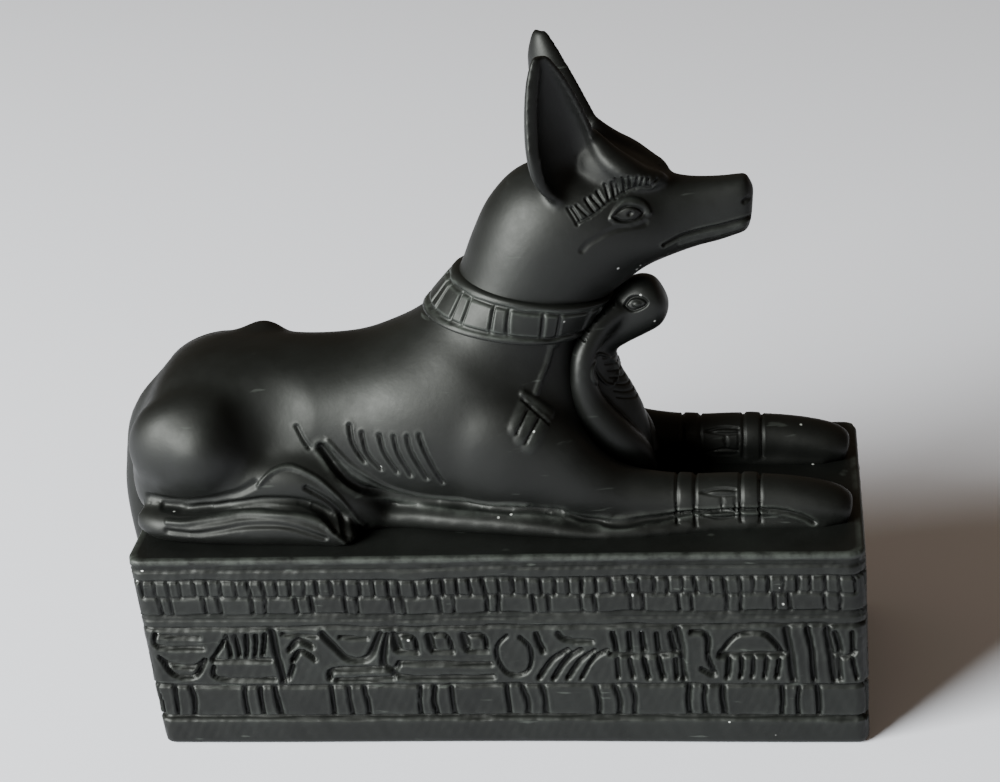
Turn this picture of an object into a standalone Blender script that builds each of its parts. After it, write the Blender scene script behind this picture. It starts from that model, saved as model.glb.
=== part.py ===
"""Recumbent jackal on a shrine-shaped plinth: a small statuette cast in black resin in one piece.

The jackal looks along +X. The origin is the centre of the plinth's underside.
Sizes are in millimetres and become metres where vertices are made.
"""

import math

import bmesh
import bpy
from mathutils import Vector

MM = 0.001

# The plinth block. Its underside sits a little forward of its top, as on the cast.
PLINTH_LENGTH = 101.3
PLINTH_WIDTH = 41.0
PLINTH_TAPER = 0.7
PLINTH_LEAN = 1.1
CORNER_RADIUS = 2.2
CORNER_STEPS = 2
FOOT_ROUNDING = 0.9
TOP_ROUNDING = 0.6

# The plinth's courses, each a height of its own, from the underside up.
FOOT_COURSE = 4.6
PANEL_COURSE = 5.2
SIGN_COURSE = 9.5
FILLET_COURSE = 1.9
LOWER_BRICK_COURSE = 2.9
UPPER_BRICK_COURSE = 2.6
BAND_COURSE = 2.0
TOP_COURSE = 1.6
FOOT_TOP = FOOT_COURSE
PANEL_TOP = FOOT_TOP + PANEL_COURSE
SIGN_TOP = PANEL_TOP + SIGN_COURSE
FILLET_TOP = SIGN_TOP + FILLET_COURSE
LOWER_BRICK_TOP = FILLET_TOP + LOWER_BRICK_COURSE
UPPER_BRICK_TOP = LOWER_BRICK_TOP + UPPER_BRICK_COURSE
BAND_TOP = UPPER_BRICK_TOP + BAND_COURSE
PLINTH_HEIGHT = BAND_TOP + TOP_COURSE

# The carved marks along the plinth's sides.
COURSE_LINE_WIDTH = 0.5
COURSE_LINE_DEPTH = 0.45
MARK_WIDTH = 0.6
MARK_DEPTH = 0.5
MARK_MARGIN = 0.35
UPPER_BRICK_PITCH = 1.95
LOWER_BRICK_PITCH = 6.9
LOWER_BRICK_GAP = 1.7
PANEL_PITCH = 12.5
PANEL_STROKE_GAP = 2.4
SIGN_PITCH = 8.4

# The jackal lies on the plinth, sunk a little into it. Its keys are drawn for a height of 65 mm.
FIGURE_HEIGHT = 65.0
DRAWN_HEIGHT = 65.0
UNIT = MM * FIGURE_HEIGHT / DRAWN_HEIGHT
SINK = -0.8
LEG_SPREAD = 9.6
LEG_HALF_WIDTH = 3.4
LEG_HALF_HEIGHT = 3.6
LEG_MIDDLE = 2.9
HIP_SKEW = 0.5
EAR_SPREAD = 6.3
EAR_WALL = 1.0
EAR_REAR_RIM = 1.7
EAR_OPENING = 0.25
EAR_TURN = math.radians(38)
FAR_EAR_LEAN = 1.1
FUSE_VOXEL = 0.5
FUSE_SMOOTHING = 9
FACE_SHARE = 0.026
TAIL_REACH = 22.0
TAIL_SEAT = 0.6
TAIL_HALF_WIDTH = 3.0

# The collar round the neck and the armlets round the forelegs.
COLLAR_PANELS = 11
PANEL_COLUMNS = 4
COLLAR_CUT = 0.45
COLLAR_RISE = 0.75
ARMLET_RISE = 0.35
ARMLET_WIDTH = 2.6
ARMLET_PLACES = (26.9, 35.6)
ARMLET_SIDES = 12

# The strokes cut into each flank for the ribs.
RIB_COUNT = 6
RIB_FIRST = -18.6
RIB_PITCH = 2.0
RIB_WIDTH = 0.9
RIB_DEPTH = 0.5


def flow(keys, steps):
    """The keys joined by a smooth curve through all of them, with a few steps between each pair."""
    rows = []
    for i in range(len(keys) - 1):
        before = keys[max(i - 1, 0)]
        here, after = keys[i], keys[i + 1]
        beyond = keys[min(i + 2, len(keys) - 1)]
        for step in range(steps):
            t = step / steps
            rows.append(
                tuple(
                    0.5 * (2 * b + (c - a) * t + (2 * a - 5 * b + 4 * c - d) * t * t
                           + (3 * b - a - 3 * c + d) * t ** 3)
                    for a, b, c, d in zip(before, here, after, beyond)
                )
            )
    rows.append(tuple(keys[-1]))
    return rows


def rounded(angle, square):
    """Cosine and sine of an angle on a superellipse: square 2 is a circle, and more is boxier."""
    c, s = math.cos(angle), math.sin(angle)
    power = 2.0 / square
    return math.copysign(abs(c) ** power, c), math.copysign(abs(s) ** power, s)


def skin(bm, rings, unit=UNIT):
    """Closes a row of equal rings into one solid skin, capped at both ends."""
    loops = [[bm.verts.new(Vector(p) * unit) for p in ring] for ring in rings]
    count = len(loops[0])
    for low, high in zip(loops, loops[1:]):
        for k in range(count):
            n = (k + 1) % count
            bm.faces.new((low[k], low[n], high[n], high[k]))
    bm.faces.new(list(reversed(loops[0])))
    bm.faces.new(loops[-1])


def rib_ring(row, around, grow=0.0):
    """One rib across the mid plane, from a key and an amount to grow it by."""
    ax, az, bx, bz, half, widest, square = row
    top, low = Vector((ax, 0, az)), Vector((bx, 0, bz))
    outwards = (top - low).normalized() * grow
    top, low = top + outwards, low - outwards
    centre = low.lerp(top, widest)
    ring = []
    for k in range(around):
        side, rise = rounded(2 * math.pi * k / around, square)
        reach = (top - centre) if rise >= 0 else (centre - low)
        ring.append(centre + reach * rise + Vector((0, (half + grow) * side, 0)))
    return ring


def ribs(bm, keys, around=28, steps=4):
    """A body built on ribs across the mid plane.

    Each key is (back x, back z, belly x, belly z, half width, height of the widest place, squareness).
    """
    skin(bm, [rib_ring(row, around) for row in flow(keys, steps)])


def limb(bm, keys, around=20, steps=4, square=2.0, up=(0, 0, 1)):
    """A round limb through keys of (x, y, z, half width, half height)."""
    rows = flow(keys, steps)
    points = [Vector(row[:3]) for row in rows]
    rings = []
    for i, row in enumerate(rows):
        along = (points[min(i + 1, len(rows) - 1)] - points[max(i - 1, 0)]).normalized()
        rise = (Vector(up) - along * along.dot(Vector(up))).normalized()
        side = along.cross(rise)
        ring = []
        for k in range(around):
            c, s = rounded(2 * math.pi * k / around, square)
            ring.append(points[i] + side * (row[3] * c) + rise * (row[4] * s))
        rings.append(ring)
    skin(bm, rings)


def mirrored(keys, side):
    """The keys of a limb on one side of the body: side is -1 or 1."""
    return [(x, side * y, *rest) for x, y, *rest in keys]


def trunk(bm):
    """Rump, back, chest, neck, skull and muzzle, as one run of ribs from tail to nose."""
    ribs(
        bm,
        [
            (-52.0, 9.8, -52.0, 4.7, 4.0, 0.5, 2.0),
            (-51.2, 13.3, -51.3, 1.2, 8.5, 0.45, 2.1),
            (-49.0, 17.5, -49.3, SINK, 12.0, 0.42, 2.2),
            (-45.6, 21.5, -45.7, SINK, 13.8, 0.45, 2.3),
            (-40.5, 23.5, -40.5, SINK, 14.1, 0.46, 2.35),
            (-34.0, 23.9, -34.0, SINK, 13.0, 0.48, 2.3),
            (-26.0, 23.7, -26.0, SINK, 11.8, 0.50, 2.2),
            (-19.0, 24.1, -18.0, SINK, 12.4, 0.48, 2.2),
            (-14.0, 25.7, -8.0, SINK, 13.8, 0.46, 2.2),
            (-11.5, 26.9, 2.0, SINK, 14.3, 0.44, 2.2),
            (-10.0, 27.9, 11.0, 1.2, 14.0, 0.44, 2.2),
            (-9.0, 28.6, 14.6, 7.7, 12.6, 0.50, 2.15),
            (-8.0, 29.4, 13.8, 15.7, 10.6, 0.52, 2.1),
            (-6.2, 31.2, 13.0, 22.7, 9.5, 0.50, 2.05),
            (-3.6, 34.5, 13.8, 27.1, 9.0, 0.50, 2.0),
            (-1.6, 39.1, 16.6, 29.9, 9.0, 0.50, 2.0),
            (0.9, 43.9, 19.2, 31.9, 8.9, 0.50, 2.0),
            (4.7, 47.8, 21.2, 33.4, 8.5, 0.50, 2.0),
            (9.5, 49.4, 22.8, 34.4, 7.9, 0.50, 2.05),
            (15.0, 49.4, 24.4, 35.1, 6.9, 0.50, 2.1),
            (20.0, 48.4, 26.0, 35.7, 5.6, 0.48, 2.2),
            (24.0, 47.2, 27.8, 36.3, 4.4, 0.46, 2.3),
            (27.6, 46.3, 29.8, 36.9, 3.6, 0.46, 2.5),
            (31.0, 46.1, 32.0, 37.4, 3.1, 0.46, 2.7),
            (34.4, 46.3, 34.2, 38.1, 2.7, 0.46, 2.8),
            (36.0, 46.3, 35.8, 38.7, 2.4, 0.50, 2.8),
            (36.7, 45.4, 36.4, 39.8, 1.9, 0.50, 2.6),
            (36.9, 44.6, 36.8, 41.0, 1.2, 0.50, 2.4),
        ],
    )


def hind_leg(bm, side):
    """The folded hind leg: haunch, knee and shin, long foot, and the point of the hip."""
    haunch = [
        (-49.6, 8.2, 9.6, 1.5, 2.2),
        (-47.8, 9.4, 10.8, 3.9, 5.4),
        (-44.8, 10.1, 11.9, 5.5, 7.6),
        (-41.0, 10.3, 12.4, 6.2, 8.5),
        (-37.4, 10.3, 12.5, 5.9, 8.0),
        (-34.2, 10.0, 12.2, 4.4, 6.0),
        (-31.6, 9.4, 11.8, 2.4, 3.4),
    ]
    shin = [
        (-42.0, 9.5, 6.9, 5.0, 4.0),
        (-35.0, 10.8, 7.5, 4.7, 3.9),
        (-30.0, 11.6, 8.0, 4.1, 3.7),
        (-26.4, 11.9, 8.1, 3.7, 3.6),
        (-23.0, 11.9, 6.8, 3.3, 3.4),
        (-19.4, 11.5, 4.3, 2.8, 3.0),
        (-16.6, 10.8, 1.0, 2.2, 2.4),
    ]
    foot = [
        (-49.2, 11.6, 2.4, 2.0, 1.8),
        (-46.0, 13.6, 2.3, 2.8, 2.3),
        (-40.0, 14.6, 2.2, 2.9, 2.3),
        (-33.0, 14.9, 2.4, 2.9, 2.8),
        (-27.6, 15.0, 2.5, 2.9, 3.0),
        (-23.6, 15.0, 1.9, 2.9, 2.5),
        (-20.6, 15.2, 1.0, 2.4, 1.8),
        (-18.8, 15.3, 0.4, 1.4, 1.0),
    ]
    lift = HIP_SKEW * side
    hip = [
        (-37.5, 6.5, 21.1 + lift, 1.0, 1.0),
        (-35.4, 6.5, 21.7 + lift, 2.2, 1.7),
        (-33.4, 6.5, 21.9 + lift, 2.5, 1.9),
        (-31.4, 6.4, 21.4 + lift, 2.0, 1.4),
        (-29.8, 6.2, 20.7, 0.8, 0.8),
    ]
    for keys in (haunch, shin, foot, hip):
        limb(bm, mirrored(keys, side))


def fore_leg(bm, side):
    """The shoulder and the foreleg stretched along the plinth, ending in a flat paw."""
    keys = [
        (-6.5, 8.5, 13.5, 2.0, 4.0),
        (-3.0, 9.0, 12.4, 5.4, 8.4),
        (2.0, 9.4, 10.8, 6.0, 9.2),
        (7.5, 9.6, 8.4, 5.4, 7.8),
        (12.5, 9.9, 5.7, 4.6, 5.6),
        (18.0, LEG_SPREAD, 3.7, 3.9, 4.2),
        (26.0, LEG_SPREAD, LEG_MIDDLE, LEG_HALF_WIDTH, LEG_HALF_HEIGHT),
        (33.0, LEG_SPREAD, LEG_MIDDLE, LEG_HALF_WIDTH, LEG_HALF_HEIGHT),
        (38.5, LEG_SPREAD, 2.6, 3.2, 3.4),
        (43.0, LEG_SPREAD, 2.1, 3.4, 3.0),
        (47.0, LEG_SPREAD, 1.3, 3.4, 2.3),
        (49.0, LEG_SPREAD, 0.7, 2.3, 1.4),
    ]
    limb(bm, mirrored(keys, side), square=2.2)


def lying_edge(bm):
    """The low apron of resin that runs round the lying body and merges it with the plinth."""
    ribs(
        bm,
        [
            (-48.0, 1.3, -48.0, SINK, 9.0, 0.4, 3.0),
            (-44.0, 1.7, -44.0, SINK, 13.6, 0.4, 3.4),
            (-30.0, 1.7, -30.0, SINK, 14.2, 0.4, 3.6),
            (-15.0, 3.3, -15.0, SINK, 12.4, 0.5, 3.6),
            (-5.0, 3.5, -5.0, SINK, 14.0, 0.5, 3.6),
            (6.0, 3.1, 6.0, SINK, 15.6, 0.5, 3.6),
            (14.0, 1.9, 14.0, SINK, 16.0, 0.4, 3.6),
            (19.0, 1.6, 19.0, SINK, 15.4, 0.4, 3.6),
        ],
    )
    along_leg = [
        (15.0, 11.6, 0.3, 4.4, 1.5),
        (22.0, 10.9, 0.3, 4.4, 1.5),
        (30.0, 10.2, 0.3, 3.7, 1.5),
        (40.0, 9.6, 0.2, 3.6, 1.2),
        (46.0, LEG_SPREAD, 0.1, 3.4, 0.9),
    ]
    for side in (-1, 1):
        limb(bm, mirrored(along_leg, side), square=3.0)


def tail(bm):
    """The tail drops from the rump and hangs down the plinth's rear face."""

    def behind(drop, depth):
        """The tail's middle: its inner side is sunk into the plinth, past the grooves between courses."""
        z = PLINTH_HEIGHT - drop * UNIT / MM
        face = PLINTH_LENGTH / 2 - inset_at(z) - middle_at(z) - PLINTH_LEAN
        return -(face - COURSE_LINE_DEPTH - TAIL_SEAT) * MM / UNIT - depth

    keys = [
        (-44.5, 0, 19.2, 2.4, 2.0),
        (-48.4, 0, 16.0, 2.8, 2.2),
        (-51.0, 0, 11.4, TAIL_HALF_WIDTH, 2.5),
        (-51.8, 0, 5.7, TAIL_HALF_WIDTH, 2.7),
    ]
    hanging = ((0.0, 1.0, 2.8), (0.4, 1.0, 2.7), (0.75, 0.9, 2.5), (0.93, 0.7, 2.2), (1.0, 0.4, 1.6))
    for share, width, depth in hanging:
        drop = TAIL_REACH * share
        keys.append((behind(drop, depth), 0, -drop, TAIL_HALF_WIDTH * width, depth))
    limb(bm, keys, up=(-1, 0, 0.4))


def ear(bm, side, around=9, steps=3):
    """One tall ear: a leaf-shaped scoop that opens outwards, thicker at its rear rim."""
    face = Vector((math.sin(EAR_TURN), side * math.cos(EAR_TURN), 0))
    across = Vector((math.cos(EAR_TURN), -side * math.sin(EAR_TURN), 0))
    lean = FAR_EAR_LEAN if side > 0 else 0.0
    keys = [
        (13.2, 5.9, 44.7, 1.2, 1.0, 0.9),
        (13.0, 6.3, 46.7, 3.8, 2.6, 1.6),
        (12.8, 6.5, 49.3, 5.2, 3.6, EAR_WALL + 0.1),
        (12.4, 6.5, 52.7, 5.4, 3.8, EAR_WALL),
        (11.8 - lean * 0.4, 6.3, 56.2, 4.8, 3.4, EAR_WALL),
        (11.2 - lean * 0.75, EAR_SPREAD, 59.5, 3.9, 2.8, EAR_WALL),
        (10.7 - lean, EAR_SPREAD, 62.3, 2.9, 2.2, EAR_WALL),
        (10.3 - lean, EAR_SPREAD, 64.4, 1.8, 1.5, 0.9),
        (10.1 - lean, EAR_SPREAD, 65.4, 1.1, 1.0, 0.7),
    ]
    sweep = [math.pi * (k / (around - 1) - 0.5) for k in range(around)]
    rings = []
    for x, y, z, half, deep, wall in flow(keys, steps):
        centre = Vector((x, side * y, z))
        rear = max(min(EAR_REAR_RIM, half * 0.7), wall)
        hollow_half, hollow_deep = max(half - (rear + wall) / 2, 0.1), max(deep - wall, 0.05)
        middle = centre + face * EAR_OPENING + across * (rear - wall) / 2
        shell = [centre + across * half * math.sin(a) - face * deep * math.cos(a) for a in sweep]
        hollow = [
            middle + across * hollow_half * math.sin(a) - face * hollow_deep * math.cos(a)
            for a in reversed(sweep)
        ]
        rings.append(shell + hollow)
    skin(bm, rings)


def face(bm, side):
    """The forehead that falls from the ear to the brow, and the eye."""
    forehead = [
        (13.6, 3.2, 54.8, 1.0, 1.2),
        (15.0, 3.6, 53.2, 1.9, 1.9),
        (16.9, 3.9, 51.1, 2.5, 2.1),
        (19.6, 3.7, 48.9, 2.8, 1.9),
        (22.3, 2.9, 47.5, 2.4, 1.5),
        (24.4, 2.1, 46.8, 1.6, 1.1),
        (25.4, 1.8, 46.2, 0.6, 0.6),
    ]
    eye = [
        (18.9, 5.3, 43.8, 0.4, 0.4),
        (19.8, 5.5, 43.9, 1.0, 1.1),
        (21.2, 5.1, 43.9, 1.0, 1.1),
        (22.4, 4.6, 43.8, 0.4, 0.4),
    ]
    for keys in (forehead, eye):
        limb(bm, mirrored(keys, side), around=12)


def cobra(bm):
    """The rearing cobra between the forelegs: its column and head, its hood, and the hood's raised rim."""
    ribs(
        bm,
        [
            (12.0, SINK, 21.5, SINK, 3.6, 0.5, 2.0),
            (12.0, 5.7, 21.8, 6.3, 3.8, 0.5, 2.0),
            (11.6, 10.7, 21.0, 11.5, 3.8, 0.5, 2.0),
            (11.2, 15.2, 19.6, 15.3, 3.5, 0.5, 2.0),
            (11.2, 19.1, 17.9, 18.7, 3.0, 0.5, 2.0),
            (12.2, 22.9, 17.4, 21.3, 2.8, 0.5, 2.0),
            (14.4, 26.8, 18.9, 22.5, 2.9, 0.5, 2.0),
            (17.2, 30.1, 21.4, 23.8, 3.2, 0.5, 2.1),
            (20.2, 32.2, 23.6, 25.1, 3.3, 0.5, 2.2),
            (22.7, 32.0, 24.6, 26.7, 2.8, 0.5, 2.2),
            (24.1, 30.2, 24.9, 28.2, 1.3, 0.5, 2.0),
        ],
        around=18,
        steps=3,
    )
    ribs(
        bm,
        [
            (15.2, 26.7, 16.6, 25.7, 2.4, 0.5, 2.2),
            (12.4, 22.9, 14.6, 22.1, 4.6, 0.5, 2.4),
            (11.8, 19.1, 14.2, 18.9, 5.6, 0.5, 2.4),
            (12.4, 15.3, 15.2, 16.3, 5.6, 0.5, 2.4),
            (14.0, 10.7, 17.4, 12.7, 5.0, 0.5, 2.4),
            (16.0, 5.7, 20.0, 8.3, 3.8, 0.5, 2.4),
        ],
        around=18,
        steps=3,
    )
    rim = [
        (18.4, 1.8, 28.2, 1.7, 1.7),
        (15.5, 3.1, 26.2, 1.9, 1.8),
        (13.4, 4.7, 23.2, 1.9, 1.7),
        (12.9, 5.4, 20.0, 1.9, 1.8),
        (13.3, 5.5, 16.6, 2.1, 2.2),
        (14.6, 5.2, 13.2, 2.6, 2.8),
        (17.0, 4.5, 9.8, 2.8, 3.0),
        (19.5, 3.4, 7.0, 2.3, 2.5),
        (20.8, 2.5, 3.7, 1.6, 1.8),
    ]
    for side in (-1, 1):
        limb(bm, mirrored(rim, side), around=12, steps=3, up=(-1, 0, 0.3))


def collar(bm):
    """The collar: a raised band round the neck, with two rims and a groove between its panels."""
    low = (-8.5, 29.0, 13.3, 25.2, 9.8, 0.5, 2.1)
    high = (-3.6, 34.5, 16.9, 30.3, 9.0, 0.5, 2.0)
    columns = COLLAR_PANELS * PANEL_COLUMNS
    panel_rise = COLLAR_RISE * 0.5
    courses = [(0.0, -1.0), (0.0, COLLAR_RISE), (0.17, COLLAR_RISE), (0.2, panel_rise),
               (0.8, panel_rise), (0.83, COLLAR_RISE), (1.0, COLLAR_RISE), (1.0, -1.0)]
    rings = []
    for share, rise in courses:
        row = [a + (b - a) * share for a, b in zip(low, high)]
        plain = rib_ring(row, columns, rise)
        cut = rib_ring(row, columns, rise - COLLAR_CUT)
        between = 0.2 <= share <= 0.8
        rings.append([cut[k] if between and k % PANEL_COLUMNS == 0 else plain[k] for k in range(columns)])
    skin(bm, rings)


def armlets(bm, side):
    """Two raised bands round a foreleg."""
    for place in ARMLET_PLACES:
        half = ARMLET_WIDTH / 2
        rings = []
        for offset, rise in ((-half, -1.0), (-half, ARMLET_RISE), (half, ARMLET_RISE), (half, -1.0)):
            ring = []
            for k in range(ARMLET_SIDES):
                c, s = rounded(2 * math.pi * k / ARMLET_SIDES, 2.2)
                y = side * LEG_SPREAD + (LEG_HALF_WIDTH + rise) * c
                ring.append(Vector((place + offset, y, LEG_MIDDLE + (LEG_HALF_HEIGHT + rise) * s)))
            rings.append(ring)
        skin(bm, rings)


def rib_strokes(bm, side):
    """Slanting strokes cut into one flank for the ribs."""
    for i in range(RIB_COUNT):
        x = RIB_FIRST + RIB_PITCH * i
        top = Vector((x, side * (12.2 + 0.14 * i), 15.8 - 0.1 * i))
        low = Vector((x + 1.9, side * (13.3 + 0.08 * i), 10.6 - 0.5 * i))
        out = Vector((0, side * 1.6, 0.5))
        across = Vector((RIB_WIDTH, 0, 0))
        rings = []
        for point in (top, low):
            rings.append([point - out * RIB_DEPTH, point + out + across, point + out - across])
        skin(bm, rings)


def resin():
    """Black cast resin with a dull sheen."""
    material = bpy.data.materials.new("black_resin")
    material.use_nodes = True
    shader = material.node_tree.nodes["Principled BSDF"]
    shader.inputs["Base Color"].default_value = (0.016, 0.018, 0.017, 1)
    shader.inputs["Roughness"].default_value = 0.5
    shader.inputs["Metallic"].default_value = 0.0
    return material


def make_object(name, bm, height=0.0, ahead=0.0, guide=False):
    """An object from a bmesh, at a height. A guide is only an operand of the statuette's modifiers."""
    bmesh.ops.recalc_face_normals(bm, faces=bm.faces)
    mesh = bpy.data.meshes.new(name)
    bm.to_mesh(mesh)
    bm.free()
    made = bpy.data.objects.new(name, mesh)
    made.location = (ahead * MM, 0, height * MM)
    bpy.context.scene.collection.objects.link(made)
    if guide:
        made.hide_render = True
        made.display_type = "WIRE"
    return made


def add_boolean(target, other, operation):
    """Joins or cuts the target with another object."""
    step = target.modifiers.new(other.name, "BOOLEAN")
    step.operation = operation
    step.solver = "EXACT"
    step.object = other


def make_jackal():
    """The jackal and the cobra, fused into one skin and softened where the forms meet."""
    bm = bmesh.new()
    trunk(bm)
    lying_edge(bm)
    tail(bm)
    cobra(bm)
    for side in (-1, 1):
        hind_leg(bm, side)
        fore_leg(bm, side)
        ear(bm, side)
        face(bm, side)
    jackal = make_object("jackal_form", bm, PLINTH_HEIGHT, -PLINTH_LEAN, guide=True)
    fuse = jackal.modifiers.new("fuse", "REMESH")
    fuse.mode = "VOXEL"
    fuse.voxel_size = FUSE_VOXEL * UNIT
    soften = jackal.modifiers.new("soften", "SMOOTH")
    soften.iterations = FUSE_SMOOTHING
    thin = jackal.modifiers.new("thin", "DECIMATE")
    thin.ratio = FACE_SHARE
    return jackal


def make_bands():
    """The collar and the armlets."""
    bm = bmesh.new()
    collar(bm)
    for side in (-1, 1):
        armlets(bm, side)
    return make_object("raised_bands", bm, PLINTH_HEIGHT, -PLINTH_LEAN, guide=True)


def make_rib_strokes():
    """The cutters for the ribs on both flanks."""
    bm = bmesh.new()
    for side in (-1, 1):
        rib_strokes(bm, side)
    return make_object("rib_strokes", bm, PLINTH_HEIGHT, -PLINTH_LEAN, guide=True)


def inset_at(z):
    """How far the tapered sides stand in at a height."""
    return PLINTH_TAPER * (1 - z / PLINTH_HEIGHT)


def middle_at(z):
    """Where the middle of the leaning plinth lies along X at a height."""
    return -PLINTH_LEAN * z / PLINTH_HEIGHT


def plinth_ring(inset, z):
    """The plinth's outline with rounded corners, at a height and moved inwards by an inset."""
    half_length = PLINTH_LENGTH / 2 - inset
    half_width = PLINTH_WIDTH / 2 - inset
    radius = max(CORNER_RADIUS - inset, 0.3)
    points = []
    for quarter, (sx, sy) in enumerate(((1, 1), (-1, 1), (-1, -1), (1, -1))):
        for step in range(CORNER_STEPS + 1):
            angle = math.pi / 2 * (quarter + step / CORNER_STEPS)
            points.append(
                (middle_at(z) + sx * (half_length - radius) + radius * math.cos(angle),
                 sy * (half_width - radius) + radius * math.sin(angle),
                 z)
            )
    return points


def make_plinth():
    """The shrine-shaped block, with a groove between each course and the next."""
    rows = [(PLINTH_TAPER + FOOT_ROUNDING, 0.0), (inset_at(FOOT_ROUNDING), FOOT_ROUNDING)]
    half = COURSE_LINE_WIDTH / 2
    for level in (FOOT_TOP, PANEL_TOP, SIGN_TOP, FILLET_TOP, UPPER_BRICK_TOP, BAND_TOP):
        rows += [(inset_at(level), level - half), (inset_at(level) + COURSE_LINE_DEPTH, level),
                 (inset_at(level), level + half)]
    rows += [(0.0, PLINTH_HEIGHT - TOP_ROUNDING), (TOP_ROUNDING, PLINTH_HEIGHT)]
    bm = bmesh.new()
    skin(bm, [plinth_ring(inset, z) for inset, z in rows], MM)
    plinth = make_object("anubis_statuette", bm)
    plinth.data.materials.append(resin())
    return plinth


def side_point(turn, s, z, out):
    """A point on one side of the plinth: s runs to the right, and out stands off the face.

    The turn is 0 for the front (-Y), 1 for the +X end, 2 for the back and 3 for the -X end.
    """
    depth = PLINTH_WIDTH / 2 if turn % 2 == 0 else PLINTH_LENGTH / 2
    flat = Vector((s, -(depth - inset_at(z)) - out))
    angle = math.pi / 2 * turn
    x = flat.x * math.cos(angle) - flat.y * math.sin(angle)
    y = flat.x * math.sin(angle) + flat.y * math.cos(angle)
    return Vector((x + middle_at(z), y, z))


def gouge(bm, turn, start, end):
    """A wedge that cuts one V-shaped stroke from start to end, each as (s, z). None runs under the tail."""
    start, end = Vector(start), Vector(end)
    if turn == 3 and min(abs(start.x), abs(end.x)) < TAIL_HALF_WIDTH + MARK_WIDTH:
        return
    along = (end - start).normalized()
    across = Vector((-along.y, along.x)) * MARK_WIDTH
    rings = []
    for point in (start, end):
        left = side_point(turn, *(point + across), MARK_DEPTH)
        right = side_point(turn, *(point - across), MARK_DEPTH)
        rings.append([left, right, side_point(turn, *point, -MARK_DEPTH)])
    skin(bm, rings, MM)


def places(span, pitch):
    """Evenly spaced places along a span, centred on it."""
    count = int(span / pitch)
    return [(i - (count - 1) / 2) * pitch for i in range(count)]


def sign_group(kind, s):
    """One group of plain strokes for the sign course, as pairs of (s, share of the course's height)."""
    groups = (
        [((-2.2, 0.1), (-2.2, 0.9)), ((0.0, 0.1), (0.0, 0.9)), ((2.2, 0.1), (2.2, 0.9))],
        [((-2.8, 0.2), (2.8, 0.2)), ((-2.2, 0.4), (-0.8, 0.9)), ((2.2, 0.4), (0.8, 0.9))],
        [((-2.8, 0.45), (2.8, 0.45)), ((-1.6, 0.6), (-1.6, 0.9)), ((1.6, 0.6), (1.6, 0.9)),
         ((-2.4, 0.15), (2.4, 0.15))],
        [((-2.4, 0.15), (1.0, 0.6)), ((-0.4, 0.15), (2.6, 0.6)), ((-1.8, 0.85), (2.2, 0.85))],
    )
    strokes = groups[kind % len(groups)]
    return [[(s + ds, PANEL_TOP + share * SIGN_COURSE) for ds, share in stroke] for stroke in strokes]


def make_marks():
    """All the strokes cut into the plinth's sides: bricks, signs and panels."""
    bm = bmesh.new()
    for turn in range(4):
        length = PLINTH_WIDTH if turn % 2 else PLINTH_LENGTH
        span = length - 2 * CORNER_RADIUS
        for s in places(span, UPPER_BRICK_PITCH):
            gouge(bm, turn, (s, LOWER_BRICK_TOP + MARK_MARGIN), (s, UPPER_BRICK_TOP - MARK_MARGIN))
        for middle in places(span, LOWER_BRICK_PITCH):
            for s in (middle - LOWER_BRICK_GAP / 2, middle + LOWER_BRICK_GAP / 2):
                gouge(bm, turn, (s, FILLET_TOP + MARK_MARGIN), (s, LOWER_BRICK_TOP - MARK_MARGIN))
        for middle in places(span, PANEL_PITCH):
            for s in (middle - PANEL_STROKE_GAP, middle, middle + PANEL_STROKE_GAP):
                gouge(bm, turn, (s, FOOT_TOP + MARK_MARGIN), (s, PANEL_TOP - MARK_MARGIN))
        for kind, s in enumerate(places(span, SIGN_PITCH)):
            strokes = sign_group(0 if turn == 2 else kind, s)
            for start, end in strokes:
                gouge(bm, turn, start, end)
    return make_object("plinth_marks", bm, guide=True)


def main():
    for old in list(bpy.data.objects):
        bpy.data.objects.remove(old)
    statuette = make_plinth()
    add_boolean(statuette, make_marks(), "DIFFERENCE")
    add_boolean(statuette, make_jackal(), "UNION")
    add_boolean(statuette, make_bands(), "UNION")
    add_boolean(statuette, make_rib_strokes(), "DIFFERENCE")


main()
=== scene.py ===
import math

import bmesh
import bpy
import numpy as np
from mathutils import Matrix, Vector


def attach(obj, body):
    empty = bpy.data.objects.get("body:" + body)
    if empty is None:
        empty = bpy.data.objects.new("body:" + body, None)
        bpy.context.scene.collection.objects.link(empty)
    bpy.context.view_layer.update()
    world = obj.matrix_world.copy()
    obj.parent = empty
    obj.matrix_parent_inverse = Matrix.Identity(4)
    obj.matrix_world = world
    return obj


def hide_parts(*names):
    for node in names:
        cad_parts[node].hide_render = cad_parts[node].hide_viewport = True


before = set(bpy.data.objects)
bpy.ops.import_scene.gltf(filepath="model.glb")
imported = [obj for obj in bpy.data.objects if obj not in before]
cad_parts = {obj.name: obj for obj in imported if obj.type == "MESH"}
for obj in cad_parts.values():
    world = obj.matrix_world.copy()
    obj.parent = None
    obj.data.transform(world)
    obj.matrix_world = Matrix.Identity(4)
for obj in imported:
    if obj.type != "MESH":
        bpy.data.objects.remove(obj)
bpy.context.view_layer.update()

# The plinth.
# A shrine-shaped block, part of the one casting in black resin. Its sides carry hand-carved courses:
# a cornice, two rows of bricks, a band of plain strokes and a row of panels over a bare foot.

MM = 0.001
STATUETTE = "anubis_statuette"
PLINTH_LENGTH = 101.3
PLINTH_WIDTH = 41.0
PLINTH_HEIGHT = 30.3
PLINTH_TAPER = 0.7
PLINTH_LEAN = 1.1
PLINTH_CORNER = 2.4
TOP_EDGE = 0.6
FOOT_EDGE = 0.9
FRONT, AHEAD, REAR, BEHIND = range(4)
CELL_LENGTHS = (0.25, 0.4, 0.6, 0.4)
CELL_HEIGHT = 0.28
CORNER_CELLS = 8

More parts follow.
